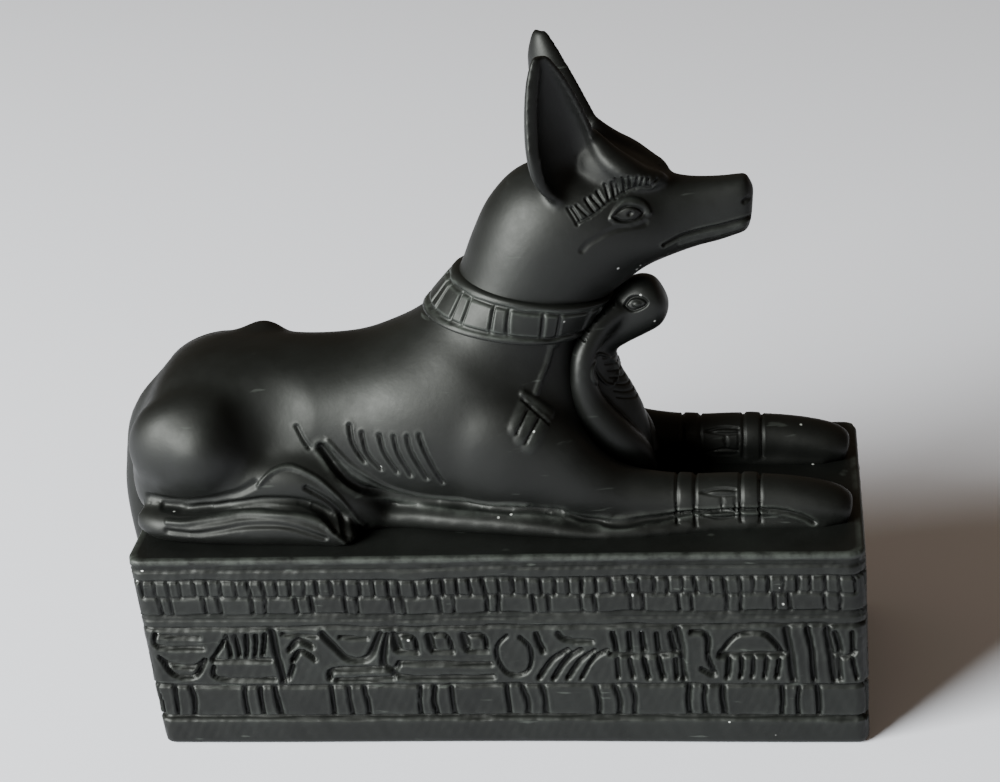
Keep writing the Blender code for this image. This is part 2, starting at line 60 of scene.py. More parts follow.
FOOT_TOP = 4.5
PANEL_TOP = 9.8
SIGN_TOP = 19.3
FILLET_TOP = 21.3
LOWER_BRICK_TOP = 24.2
UPPER_BRICK_TOP = 26.8
BAND_TOP = 28.6
COURSE_LINES = (
    # height, width, depth
    (FOOT_TOP, 0.95, 0.75),
    (PANEL_TOP, 0.6, 0.45),
    (SIGN_TOP, 0.6, 0.5),
    (FILLET_TOP - 0.6, 0.4, 0.3),
    (FILLET_TOP, 0.55, 0.5),
    (UPPER_BRICK_TOP, 0.6, 0.45),
    (BAND_TOP, 0.45, 0.4),
    (BAND_TOP + 0.55, 0.35, 0.25),
)
CARVING_MARGIN = 1.6
SIGN_MARGIN = 0.8
SMALL_BRICK = 1.93
WIDE_BRICK = 6.75
PANEL_PITCH = 12.55
GROOVE_STEP = 2.4
HAND_WAVE = 0.16
GROOVE_GAIN = 1.4
SHOULDER_FALL = 0.12
# Lightening of the plinth's rounded top edge: part rubbed wear, part painted highlight along the edge.
EDGE_WEAR_AND_HIGHLIGHT = 0.5

# A lighter resin colour for rubbed edges and scuffs; on raised edges and lips it also serves as a painted
# highlight.
RUBBED_AND_HIGHLIGHT_COLOUR = (0.06, 0.068, 0.062, 1)
DUST_COLOUR = (0.5, 0.51, 0.5, 1)
RESIN_SPECULAR = 0.24
GRAIN_DEPTH = 0.14 * MM


def flow(keys, steps):
    """The keys joined by a smooth curve through all of them, with a few steps between each pair."""
    keys = np.array(keys, float)
    padded = np.vstack([keys[:1], keys, keys[-1:]])
    rows = []
    for a, b, c, d in zip(padded, padded[1:], padded[2:], padded[3:]):
        for t in np.arange(steps) / steps:
            rows.append(0.5 * (2 * b + (c - a) * t + (2 * a - 5 * b + 4 * c - d) * t * t
                               + (3 * b - a - 3 * c + d) * t ** 3))
    return np.array(rows + [keys[-1]])


def waves(a, b, seed, pitch=1.0):
    """The slow unevenness of hand work over two coordinates, from about -1 to 1."""
    draw = np.random.default_rng(seed)
    total = 0.0
    for _ in range(6):
        turn, phase = draw.uniform(0, 2 * math.pi, 2)
        rate = pitch * draw.uniform(0.5, 1.7)
        total = total + np.sin((a * math.cos(turn) + b * math.sin(turn)) * rate + phase)
    return total / 3.5


class Relief:
    """Carving over a surface that is laid out over two coordinates, in millimetres."""

    def __init__(self, a, b, where=True):
        self.a, self.b = a, b
        self.where = np.ones(a.shape, bool) & where
        self.broad = np.zeros(a.shape)
        self.hollow = np.zeros(a.shape)
        self.lip = np.zeros(a.shape)
        self.rise = np.zeros(a.shape)
        self.near = np.zeros(a.shape, bool)

    def gap(self, points, reach):
        """The places within reach of a line, and how far each lies from it."""
        points = np.asarray(points, float)
        if len(points) > 2:
            points = flow(points, 4)
        low, high = points.min(0) - reach, points.max(0) + reach
        near = self.where & (self.a > low[0]) & (self.a < high[0]) & (self.b > low[1]) & (self.b < high[1])
        a, b = self.a[near], self.b[near]
        gap = np.full(a.shape, 1e9)
        for (a0, b0), (a1, b1) in zip(points, points[1:]):
            da, db = a1 - a0, b1 - b0
            share = np.clip(((a - a0) * da + (b - b0) * db) / max(da * da + db * db, 1e-9), 0, 1)
            gap = np.minimum(gap, np.hypot(a - a0 - share * da, b - b0 - share * db))
        self.near[near] |= gap < reach * 0.6 + 0.35
        return near, gap

    def cut(self, points, width, depth, lip=0.12):
        """A gouged stroke, with a little resin pushed up along either side."""
        near, gap = self.gap(points, width * 1.6)
        half = width / 2
        hollow = depth * np.clip(1 - (gap / half) ** 1.5, 0, 1) ** 1.15
        edge = lip * depth * np.exp(-((gap - 1.3 * half) / (0.5 * half)) ** 2)
        self.hollow[near] = np.maximum(self.hollow[near], hollow)
        self.lip[near] = np.maximum(self.lip[near], edge)

    def ridge(self, points, width, height):
        """A raised line with a rounded top."""
        near, gap = self.gap(points, width)
        rise = height * np.clip(1 - (gap / (width / 2)) ** 2, 0, 1) ** 1.5
        self.rise[near] = np.maximum(self.rise[near], rise)

    def dome(self, centre, radii, height):
        """A shallow oval swelling."""
        share = ((self.a - centre[0]) / radii[0]) ** 2 + ((self.b - centre[1]) / radii[1]) ** 2
        self.near |= self.where & (share < 1.2)
        self.rise = np.maximum(self.rise, height * np.clip(1 - share, 0, 1) ** 1.5 * self.where)

    def dip(self, centre, radii, depth):
        """A broad shallow hollow with a soft edge, or a broad swelling where the depth is negative."""
        share = ((self.a - centre[0]) / radii[0]) ** 2 + ((self.b - centre[1]) / radii[1]) ** 2
        self.broad = self.broad + depth * np.clip(1 - share, 0, 1) ** 2 * self.where

    def depth(self):
        """How far each place lies below the plain surface."""
        return self.broad + self.hollow - self.lip * (self.hollow < 0.02) - self.rise


def plinth_columns():
    """Columns round the plinth: place on the outline, outward direction, side number, distance along."""
    half = (PLINTH_LENGTH / 2, PLINTH_WIDTH / 2)
    arc = np.arange(CORNER_CELLS) / CORNER_CELLS
    columns = []
    for turn in (FRONT, AHEAD, REAR, BEHIND):
        reach, depth = half if turn % 2 == 0 else half[::-1]
        flat = reach - PLINTH_CORNER
        straight = np.linspace(-flat, flat, int(2 * flat / CELL_LENGTHS[turn]))
        places = np.concatenate([np.full(CORNER_CELLS, -flat), straight, np.full(CORNER_CELLS, flat)])
        # The second corner starts a little after the straight's end, so that no two columns coincide.
        leans = np.concatenate([-math.pi / 4 * (1 - arc), np.zeros(len(straight)), math.pi / 4 * arc + 0.05])
        angle = math.pi / 2 * turn
        for s, lean in zip(places, leans):
            out = depth - PLINTH_CORNER * (1 - math.cos(lean))
            place = s + PLINTH_CORNER * math.sin(lean)
            x = place * math.cos(angle) + out * math.sin(angle)
            y = place * math.sin(angle) - out * math.cos(angle)
            along = s + PLINTH_CORNER * lean
            columns.append((x, y, math.sin(angle + lean), -math.cos(angle + lean), turn, along))
    return np.array(columns)


def spaced(first, last, pitch):
    """Places from first to last, about a pitch apart."""
    return np.linspace(first, last, int(round((last - first) / pitch)) + 1)


def carve_bricks(relief, span, draw):
    """Two rows of bricks: small ones above, and wide ones with narrow ones between them below."""
    for s in spaced(-span, span, SMALL_BRICK):
        s = s + draw.uniform(-0.16, 0.16)
        relief.cut([(s, LOWER_BRICK_TOP + 0.15), (s + draw.uniform(-0.1, 0.1), UPPER_BRICK_TOP - 0.15)],
                   draw.uniform(0.5, 0.75), draw.uniform(0.4, 0.6))
    for s in spaced(-span + 3.2, span - 3.2, WIDE_BRICK):
        gap = draw.uniform(0.75, 1.05)
        for edge in (s - gap, s + gap):
            relief.cut([(edge, FILLET_TOP + 0.25), (edge + draw.uniform(-0.12, 0.12), LOWER_BRICK_TOP)],
                       draw.uniform(0.5, 0.75), draw.uniform(0.4, 0.55))
    joint = [(s, LOWER_BRICK_TOP + draw.uniform(-0.09, 0.09)) for s in np.linspace(-span, span, 40)]
    relief.cut(joint, 0.5, 0.3)


def carve_panels(relief, span, draw):
    """The lowest course: bare panels parted by groups of three upright grooves."""
    for s in spaced(-span + 1.8, span - 8.4, PANEL_PITCH):
        for step in (-GROOVE_STEP, 0.0, GROOVE_STEP):
            place = s + step + draw.uniform(-0.25, 0.25)
            bow = draw.uniform(-0.2, 0.2)
            relief.cut([(place, FOOT_TOP + 0.4), (place + bow, (FOOT_TOP + PANEL_TOP) / 2),
                        (place + draw.uniform(-0.2, 0.2), PANEL_TOP - 0.4)],
                       draw.uniform(0.75, 1.0), draw.uniform(0.45, 0.65))


def carve_signs(relief, span, draw, plain):
    """A band of shallow strokes in groups. They are only strokes, and spell nothing."""
    low, high = PANEL_TOP + 0.8, SIGN_TOP - 0.7
    middle = (low + high) / 2

    def gouge(*points, wide=1.0):
        points = [(a + draw.uniform(-0.12, 0.12), b + draw.uniform(-0.12, 0.12)) for a, b in points]
        relief.cut(points, wide * draw.uniform(0.85, 1.15), draw.uniform(0.5, 0.72))

    def uprights(s, half):
        for place in spaced(s - half, s + half, 2.5):
            gouge((place - 0.2, high), (place + 0.1, middle + 1), (place + 0.35, low), wide=1.15)

    def bowls(s, half):
        gouge((s - half, high - 0.4), (s - half, high - 2.2), (s + half, high - 2.5), wide=0.8)
        gouge((s - half, high - 0.4), (s + half, high - 0.7), wide=0.7)
        for sag in (1.3, 2.9):
            gouge((s - half, middle - 0.1), (s - half / 2, middle - sag), (s + half / 2, middle - sag - 0.2),
                  (s + half, middle - 0.5), wide=0.85)

    def fan(s, half):
        for spread in np.linspace(-0.4, 0.95, 5):
            gouge((s + spread * half * 0.85, middle + 0.3), (s + spread * half, high - 0.4), wide=0.85)
        gouge((s - half, middle - 0.2), (s - half * 0.5, middle + 2.6), wide=0.8)
        gouge((s - half, middle - 0.6), (s + half, middle - 0.5), wide=0.8)
        gouge((s - half, low + 2.4), (s - half * 0.9, low + 0.5), (s + half, low + 0.3), wide=0.8)

    def basket(s, half):
        gouge((s - half, high - 0.4), (s - half * 0.4, middle - 0.2), (s + half * 0.3, middle - 0.3),
              (s + half * 0.8, high - 0.3), wide=1.05)
        gouge((s - half * 0.5, high - 1.0), (s + half * 0.4, high - 1.2), wide=0.7)
        gouge((s - half, low + 0.4), (s - half * 0.8, low + 1.8), (s + half * 0.7, low + 2.0), wide=0.9)
        gouge((s - half * 0.8, low + 0.2), (s + half, low + 0.3), wide=0.9)
        gouge((s + half, high - 0.6), (s + half * 0.75, middle - 1.2), (s + half, low + 1.6), wide=1.1)

    def crescents(s, half):
        for level in (middle, middle + 1.9):
            gouge((s - half * 0.6, level - 0.6), (s, level + 0.8), (s + half * 0.7, level - 0.4))
        gouge((s - half, low + 0.6), (s - half * 0.6, middle - 1.5), wide=0.9)
        gouge((s - half, high - 0.3), (s + half, high - 0.8), wide=0.7)

    def pads(s, half):
        for place in spaced(s - half + 1.6, s + half - 1.6, 4.1):
            gouge((place - 1.5, high - 0.7), (place - 1.4, middle + 1.4), wide=1.5)
            gouge((place - 0.9, high - 0.6), (place + 1.0, high - 0.8), (place + 1.4, middle + 1.2), wide=0.8)
            gouge((place - 1.5, middle + 0.8), (place + 1.4, middle + 0.6), wide=0.7)
        gouge((s - half, low + 2.9), (s + half, low + 2.6), wide=1.0)
        gouge((s - half, low + 2.6), (s - half + 0.2, low + 0.6), (s + half, low + 0.5), wide=0.9)

    def hoop(s, half):
        tall = (high - low) * 0.42
        turns = np.linspace(0.4, 5.9, 9)
        gouge(*[(s + half * math.sin(t), middle + tall * math.cos(t)) for t in turns], wide=0.8)

    def slants(s, half):
        for place in spaced(s - half + 2, s + half - 2, 2.0):
            gouge((place - 2.2, low + 0.3), (place - 0.2, middle - 0.7), (place + 2.0, middle + 0.9),
                  wide=0.85)
        gouge((s - half, high - 0.4), (s - half + 0.6, middle + 0.7), wide=1.0)
        gouge((s - half * 0.4, high - 0.3), (s - half * 0.2, middle + 2.6), (s + half * 0.6, middle + 2.2),
              wide=0.8)

    def crossed(s, half):
        for place in spaced(s - half, s + half, 1.9):
            gouge((place, high - 0.6), (place + 0.2, middle + 0.6), wide=0.95)
            gouge((place + 0.1, middle - 0.8), (place + 0.3, low + 0.3), wide=0.9)
        gouge((s - half - 0.6, middle + 0.2), (s, middle - 0.2), (s + half + 0.6, middle + 0.4), wide=0.75)

    def hook(s, half):
        gouge((s - half, high), (s - half + 0.3, low), wide=1.1)
        gouge((s - half * 0.2, high - 0.4), (s + half * 0.6, high - 0.8), (s + half * 0.7, middle), wide=0.9)
        gouge((s + half * 0.7, middle - 0.4), (s + half, low + 0.9), (s + half * 0.2, low + 1.8), wide=0.9)

    def canopy(s, half):
        gouge((s - half, middle + 0.2), (s - half * 0.55, high - 1.2), (s, high - 0.5),
              (s + half * 0.6, high - 1.0), (s + half, middle + 0.4), wide=0.8)
        gouge((s - half, middle + 0.1), (s + half, middle), wide=0.95)
        for place in spaced(s - half * 0.75, s + half * 0.85, 1.7):
            gouge((place + 0.1, middle - 0.8), (place - 0.3, low + 0.6), wide=0.85)

    if plain:
        for s in spaced(-span + 4, span - 4, 9.6):
            uprights(s, 2.5)
        return
    if span < PLINTH_WIDTH / 2:
        order = ((crossed, 5), (hook, 4), (basket, 9), (uprights, 5), (fan, 7))
    else:
        order = ((bowls, 6.5), (fan, 8.5), (uprights, 0.1), (crescents, 5), (basket, 9), (pads, 13),
                 (hoop, 5), (slants, 9.5), (crossed, 8), (hook, 4.5), (canopy, 8.5), (uprights, 5.5),
                 (crossed, 2))
    total = sum(width for _, width in order)
    gap = (2 * span - total) / (len(order) - 1)
    place = -span
    for group, width in order:
        group(place + width / 2, width / 2)
        place += width + gap


def soften(grid, rounds):
    """Evens out a grid that closes on itself sideways."""
    for _ in range(rounds):
        grid = (np.roll(grid, 1, 1) + 2 * grid + np.roll(grid, -1, 1)) / 4
        padded = np.pad(grid, ((1, 1), (0, 0)), "edge")
        grid = (padded[:-2] + 2 * grid + padded[2:]) / 4
    return grid


def set_wear_and_highlight(mesh, wear_and_highlight):
    """Keeps how much each place is lightened for the resin's colour: part rubbed wear, part painted highlight
    on raised edges.
    """
    mesh.attributes.new("wear_and_highlight", "FLOAT", "POINT").data.foreach_set("value", wear_and_highlight.ravel().astype(np.float32))


def make_plinth():
    """The block as a fine skin, pushed in along its carving."""
    columns = plinth_columns()
    x, y, out_x, out_y, turns, along = columns.T
    arc = np.arange(5) * math.pi / 8
    foot = [(FOOT_EDGE * (1 - math.sin(t)), FOOT_EDGE * (1 - math.cos(t))) for t in arc[:-1]]
    levels = spaced(FOOT_EDGE, PLINTH_HEIGHT - TOP_EDGE, CELL_HEIGHT)
    top = [(TOP_EDGE * (1 - math.cos(t)), PLINTH_HEIGHT - TOP_EDGE + TOP_EDGE * math.sin(t)) for t in arc[1:]]
    profile = np.array(foot + [(0.0, z) for z in levels] + top)
    inset = profile[:, :1]
    z = profile[:, 1:] * np.ones(len(columns))
    s = np.ones((len(profile), 1)) * along
    carving = np.zeros(z.shape)
    for turn in (FRONT, AHEAD, REAR, BEHIND):
        side = turns == turn
        draw = np.random.default_rng(70 + turn)
        span = (PLINTH_LENGTH if turn % 2 == 0 else PLINTH_WIDTH) / 2 - CARVING_MARGIN
        a = s[:, side] + HAND_WAVE * waves(s[:, side], z[:, side], 5 + turn)
        b = z[:, side] + HAND_WAVE * waves(s[:, side] * 0.5, z[:, side] * 0.3, 15 + turn)
        relief = Relief(a, b)
        for level, width, cut in COURSE_LINES:
            relief.cut([(-span - 4, level), (span + 4, level)], width, cut, lip=0.05)
        carve_bricks(relief, span, draw)
        carve_panels(relief, span, draw)
        carve_signs(relief, span - SIGN_MARGIN, draw, plain=turn == REAR)
        carving[:, side] = relief.depth()
    shoulders = soften(carving, 7)
    carving = GROOVE_GAIN * carving + SHOULDER_FALL * shoulders
    grain = 0.05 * waves(s * 1.1, z * 1.3, 3) + 0.03 * waves(s * 3.1, z * 3.5, 4)
    swell = 0.16 * waves(s * 0.09, z * 0.15, 8)
    body = (z > FOOT_EDGE) & (z < PLINTH_HEIGHT - TOP_EDGE)
    depth = np.where(body, carving + grain, 0.0) + swell
    inwards = inset + PLINTH_TAPER * (1 - z / PLINTH_HEIGHT) + depth
    rings = np.stack([x - out_x * inwards - PLINTH_LEAN * z / PLINTH_HEIGHT, y - out_y * inwards, z], axis=2)
    centre = np.array([-PLINTH_LEAN, 0, PLINTH_HEIGHT])
    inner = [centre + (rings[-1] - centre) * share for share in (0.985, 0.96)]
    rings = np.concatenate([rings, inner])
    rows, count = rings.shape[:2]
    index = np.arange(rows * count).reshape(rows, count)
    low, high = index[:-1], index[1:]
    faces = np.stack([low, np.roll(low, -1, 1), np.roll(high, -1, 1), high], axis=2).reshape(-1, 4).tolist()
    faces += [index[0][::-1].tolist(), index[-1].tolist()]
    mesh = bpy.data.meshes.new("plinth")
    mesh.from_pydata((rings.reshape(-1, 3) * MM).tolist(), [], faces)
    mesh.shade_smooth()
    wear_and_highlight = np.zeros((rows, count))
    # Raised edges beside the grooves and the rounded top edge are lightened: part rubbed wear, part painted
    # highlight.
    wear_and_highlight[:len(profile)] = np.clip(shoulders - carving, 0, 1) + EDGE_WEAR_AND_HIGHLIGHT * (~body) * (z > FOOT_TOP)
    set_wear_and_highlight(mesh, wear_and_highlight)
    piece = bpy.data.objects.new("plinth", mesh)
    bpy.context.scene.collection.objects.link(piece)
    return piece


class Link:
    """One output of a shader node. Arithmetic on it adds Math nodes."""

    def __init__(self, finish, socket):
        self.finish, self.socket = finish, socket

    def maths(self, operation, *values):
        return self.finish.node("Math", {"operation": operation}, values)

    def __add__(self, other):
        return self.maths("ADD", self, other)

    __radd__ = __add__

    def __mul__(self, other):
        return self.maths("MULTIPLY", self, other)

    __rmul__ = __mul__

    def __sub__(self, other):
        return self.maths("SUBTRACT", self, other)

    def __rsub__(self, other):
        return self.maths("SUBTRACT", other, self)

    def above(self, edge, soft):
        """From 0 to 1 as the value passes an edge, over a soft range."""
        settings = {"interpolation_type": "SMOOTHSTEP"}
        return self.finish.node("MapRange", settings, {0: self, 1: edge, 2: edge + soft})


class Finish:
    """A material under construction, around its Principled shader."""

    def __init__(self, name):
        self.material = bpy.data.materials.new(name)
        self.material.use_nodes = True
        self.tree = self.material.node_tree
        self.shader = self.tree.nodes["Principled BSDF"]

    def node(self, kind, settings, values=(), output=0):
        """A new node: its settings come first, then the values or links of its sockets."""
        made = self.tree.nodes.new("ShaderNode" + kind)
        for name, value in settings.items():
            setattr(made, name, value)
        pairs = values.items() if isinstance(values, dict) else enumerate(values)
        for key, value in pairs:
            self.plug(made.inputs[key], value)
        return Link(self, made.outputs[output])

    def plug(self, socket, value):
        if isinstance(value, Link):
            self.tree.links.new(value.socket, socket)
        else:
            socket.default_value = value

    def noise(self, places, scale, detail, rough=0.55):
        values = {"Vector": places, "Scale": scale, "Detail": detail, "Roughness": rough}
        return self.node("TexNoise", {}, values)

    def mix(self, share, first, second):
        """The first colour where the share is 0, and the second where it is 1."""
        return self.node("Mix", {"data_type": "RGBA"}, {0: share, 6: first, 7: second}, output=2)


def cast_resin(name, tone, dusty, dull, grain):
    """Black cast resin: near-black with a green cast, a dull sheen, dust, a few scuffs, and lighter rubbed
    edges that are partly painted highlight.
    """
    finish = Finish(name)
    places = finish.node("TexCoord", {}, output=3)
    cloud = finish.noise(places, 55.0, 4.0)
    fine = finish.noise(places, 1100.0, 4.0, 0.6)
    mottle = finish.noise(places, 300.0, 5.0, 0.65)
    # The lightening kept on each mesh: part rubbed wear, part painted highlight on raised edges and lips.
    wear_and_highlight = finish.node("Attribute", {"attribute_name": "wear_and_highlight"}, output=2)
    speck = finish.node("TexVoronoi", {}, {"Vector": places, "Scale": 260.0})
    chosen = finish.noise(places, 95.0, 1.0)
    specks = (1 - speck.above(0.03, 0.035)) * chosen.above(0.57, 0.03) * dusty
    stretched = finish.node("Mapping", {}, {0: places, 2: (0.3, 0.2, 0.7), 3: (1.0, 1.0, 7.0)})
    scuffs = finish.noise(stretched, 160.0, 2.0).above(0.69, 0.06) * dusty
    # Raised edges and lips turn lighter: part rubbed wear, part painted highlight.
    worn_and_highlit = wear_and_highlight * mottle.above(0.3, 0.35) * 0.8
    dark = (tone * 0.85, tone * 0.95, tone * 0.86, 1)
    light = (tone * 1.5, tone * 1.7, tone * 1.55, 1)
    colour = finish.mix(cloud.above(0.35, 0.35), dark, light)
    colour = finish.mix(worn_and_highlit, colour, RUBBED_AND_HIGHLIGHT_COLOUR)
    colour = finish.mix(scuffs * 0.35, colour, RUBBED_AND_HIGHLIGHT_COLOUR)
    colour = finish.mix(specks, colour, DUST_COLOUR)
    finish.plug(finish.shader.inputs["Base Color"], colour)
    roughness = dull + (mottle - 0.5) * 0.25 + scuffs * 0.15 + specks * 0.3
    finish.plug(finish.shader.inputs["Roughness"], roughness)
    height = mottle * 0.6 + fine * 0.25
    bump = finish.node("Bump", {}, {"Strength": grain, "Distance": GRAIN_DEPTH, "Height": height})
    finish.plug(finish.shader.inputs["Normal"], bump)
    finish.plug(finish.shader.inputs["Specular IOR Level"], RESIN_SPECULAR)
    return finish.material


def cast_in_resin(piece, material):
    """Gives a piece its resin, and its place in the one casting."""
    piece.data.materials.append(material)
    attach(piece, "root")
    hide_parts(STATUETTE)


plinth_resin = cast_resin("plinth_resin", tone=0.004, dusty=1.0, dull=0.48, grain=0.5)
cast_in_resin(make_plinth(), plinth_resin)

# The jackal's body.
# Rump, back, chest, folded hind legs, forelegs and tail, cast with the plinth. The modeller built the
# haunch and shoulder as broad smooth masses and cut the ribs, toes and armlets in with a tool.

TOP_OF_PLINTH = Matrix.Translation((-PLINTH_LEAN * MM, 0, PLINTH_HEIGHT * MM))
SINK = -0.8
LEG_SPREAD = 9.6
LEG_MIDDLE = 2.9
BODY_VOXEL = 0.48
BODY_SOFTENING = 36
NEAR_HIP_LIFT = -1.5
FAR_HIP_LIFT = 0.5
FLANK_WAVE = 0.1


def rounded(around, square, turn=0.0):
    """Cosines and sines round a superellipse: square 2 is a circle. Turn slides the points along it."""
    angle = np.arange(around) * 2 * math.pi / around
    angle = angle + turn * np.cos(angle)
    c, s = np.cos(angle), np.sin(angle)
    return np.sign(c) * np.abs(c) ** (2 / square), np.sign(s) * np.abs(s) ** (2 / square)


def skin(bm, rings):
    """Closes a row of equal rings into one solid skin, capped at both ends."""
    loops = [[bm.verts.new(p * MM) for p in ring] for ring in rings]
    count = len(loops[0])
    for low, high in zip(loops, loops[1:]):
        for k in range(count):
            n = (k + 1) % count
            bm.faces.new((low[k], low[n], high[n], high[k]))
    bm.faces.new(list(reversed(loops[0])))
    bm.faces.new(loops[-1])


def rib_ring(row, around, grow=0.0, turn=0.0):
    """One rib across the mid plane. See ribs for the row."""
    ax, az, bx, bz, half, widest, square = row
    top, low = np.array([ax, 0, az]), np.array([bx, 0, bz])
    outwards = (top - low) / np.linalg.norm(top - low) * grow
    top, low = top + outwards, low - outwards
    centre = low + (top - low) * widest
    side, rise = rounded(around, square, turn)
    reach = np.where(rise[:, None] >= 0, top - centre, centre - low)
    return centre + reach * rise[:, None] + np.outer(side, [0, half + grow, 0])


def ribs(bm, keys, around=56, steps=8):
    """A body built on ribs across the mid plane.

    Each key is (back x, back z, belly x, belly z, half width, height of the widest place, squareness).
    """
    skin(bm, [rib_ring(row, around) for row in flow(keys, steps)])


def limb(bm, keys, around=32, steps=8, square=2.0, up=(0, 0, 1), side=1):
    """A round limb through keys of (x, y, z, half width, half height), on one side of the body."""
    rows = flow(np.array(keys, float) * [1, side, 1, 1, 1], steps)
    across, lift = rounded(around, square)
    rings = []
    for i, row in enumerate(rows):
        along = rows[min(i + 1, len(rows) - 1), :3] - rows[max(i - 1, 0), :3]
        along = along / np.linalg.norm(along)
        rise = np.array(up, float) - along * np.dot(along, up)
        rise = rise / np.linalg.norm(rise)
        wide = np.cross(along, rise)
        rings.append(row[:3] + np.outer(across * row[3], wide) + np.outer(lift * row[4], rise))
    skin(bm, rings)


TRUNK = [
    (-52.0, 9.8, -52.0, 4.7, 4.0, 0.5, 2.0),
    (-51.2, 13.3, -51.3, 1.2, 8.5, 0.45, 2.1),
    (-49.0, 17.5, -49.3, SINK, 12.0, 0.42, 2.2),
    (-45.6, 21.5, -45.7, SINK, 13.8, 0.45, 2.3),
    (-40.5, 23.5, -40.5, SINK, 14.1, 0.46, 2.35),
    (-34.0, 23.9, -34.0, SINK, 13.0, 0.48, 2.3),
    (-26.0, 23.7, -26.0, SINK, 11.8, 0.50, 2.2),
    (-19.0, 24.1, -18.0, SINK, 12.4, 0.48, 2.2),
    (-14.0, 25.7, -8.0, SINK, 13.8, 0.46, 2.2),
    (-11.5, 26.9, 2.0, SINK, 14.3, 0.44, 2.2),
    (-10.0, 27.9, 11.0, 1.2, 14.0, 0.44, 2.2),
    (-9.0, 28.6, 14.6, 7.7, 12.6, 0.50, 2.15),
    (-8.0, 29.4, 13.8, 15.7, 10.6, 0.52, 2.1),
    (-6.2, 31.2, 13.0, 22.7, 9.5, 0.50, 2.05),
    (-3.6, 34.5, 13.8, 27.1, 9.0, 0.50, 2.0),
    (-1.6, 39.1, 16.6, 29.9, 9.0, 0.50, 2.0),
    (0.9, 43.9, 19.2, 31.9, 8.9, 0.50, 2.0),
    (4.7, 47.8, 21.2, 33.4, 8.5, 0.50, 2.0),
    (9.5, 49.4, 22.8, 34.4, 7.9, 0.50, 2.05),
    (15.0, 49.4, 24.4, 35.1, 6.9, 0.50, 2.1),
    (20.0, 48.4, 26.0, 35.7, 5.6, 0.48, 2.2),
    (24.0, 47.2, 27.8, 36.3, 4.4, 0.46, 2.3),
    (27.6, 46.3, 29.8, 36.9, 3.6, 0.46, 2.5),
    (31.0, 46.1, 32.0, 37.4, 3.1, 0.46, 2.7),
    (34.4, 46.3, 34.2, 38.1, 2.7, 0.46, 2.8),
    (35.7, 46.4, 35.6, 38.6, 2.4, 0.50, 2.8),
    (36.3, 45.6, 36.2, 39.6, 1.9, 0.50, 2.6),
    (36.8, 44.6, 36.5, 41.0, 1.2, 0.50, 2.4),
]
NECK_FOOT = 11
NECK_HEAD = 18
COLLAR_LOW = np.array([-8.5, 29.0, 13.3, 25.2, 9.8, 0.5, 2.1])
COLLAR_HIGH = np.array([-3.6, 34.5, 16.9, 30.3, 9.0, 0.5, 2.0])


def hind_leg(bm, side):
    """The folded hind leg: haunch, knee and shin, long foot, and the point of the hip."""
    limb(bm, [(-49.6, 8.2, 9.6, 1.5, 2.2), (-47.8, 9.4, 10.8, 3.9, 5.4), (-44.8, 10.1, 11.9, 5.5, 7.6),
              (-41.0, 10.3, 12.4, 6.2, 8.5), (-37.4, 10.3, 12.5, 5.9, 8.0), (-34.2, 10.0, 12.2, 4.4, 6.0),
              (-31.6, 9.4, 11.8, 2.4, 3.4)], side=side)
    limb(bm, [(-42.0, 9.5, 6.9, 5.0, 4.0), (-35.0, 10.8, 7.5, 4.7, 3.9), (-30.0, 11.6, 8.0, 4.1, 3.7),
              (-26.4, 11.9, 8.1, 3.7, 3.6), (-23.0, 11.9, 6.8, 3.3, 3.4), (-19.4, 11.5, 4.3, 2.8, 3.0),
              (-16.6, 10.8, 1.0, 2.2, 2.4)], side=side)
    limb(bm, [(-49.2, 11.6, 2.4, 2.0, 1.8), (-46.0, 13.6, 2.3, 2.8, 2.3), (-40.0, 14.6, 2.2, 2.9, 2.3),
              (-33.0, 14.9, 2.4, 2.9, 2.8), (-27.6, 15.0, 2.5, 2.9, 3.0), (-23.6, 15.0, 1.9, 2.9, 2.5),
              (-20.6, 15.2, 1.0, 2.4, 1.8), (-18.8, 15.3, 0.4, 1.4, 1.0)], side=side)
    lift = FAR_HIP_LIFT if side > 0 else NEAR_HIP_LIFT
    limb(bm, [(-37.5, 6.5, 21.1 + lift, 1.0, 1.0), (-35.4, 6.5, 21.7 + lift, 2.2, 1.7),
              (-33.4, 6.5, 21.9 + lift, 2.5, 1.9), (-31.4, 6.4, 21.4 + lift, 2.0, 1.4),
              (-29.8, 6.2, 20.7, 0.8, 0.8)], side=side)


def fore_leg(bm, side):
    """The shoulder and the foreleg stretched along the plinth, ending in a flat paw."""
    limb(bm, [(-6.5, 8.5, 13.5, 2.0, 4.0), (-3.0, 9.0, 12.4, 5.4, 8.4), (2.0, 9.4, 10.8, 6.0, 9.2),
              (7.5, 9.6, 8.4, 5.4, 7.8), (12.5, 9.9, 5.7, 4.6, 5.6), (18.0, LEG_SPREAD, 3.7, 3.9, 4.2),
              (26.0, LEG_SPREAD, LEG_MIDDLE, 3.4, 3.6), (33.0, LEG_SPREAD, LEG_MIDDLE, 3.4, 3.6),
              (38.5, LEG_SPREAD, 2.7, 3.3, 3.5), (43.0, LEG_SPREAD, 2.3, 3.5, 3.2),
              (46.8, LEG_SPREAD, 1.7, 3.4, 2.7), (48.9, LEG_SPREAD, 1.0, 2.6, 1.8)], square=2.2, side=side)


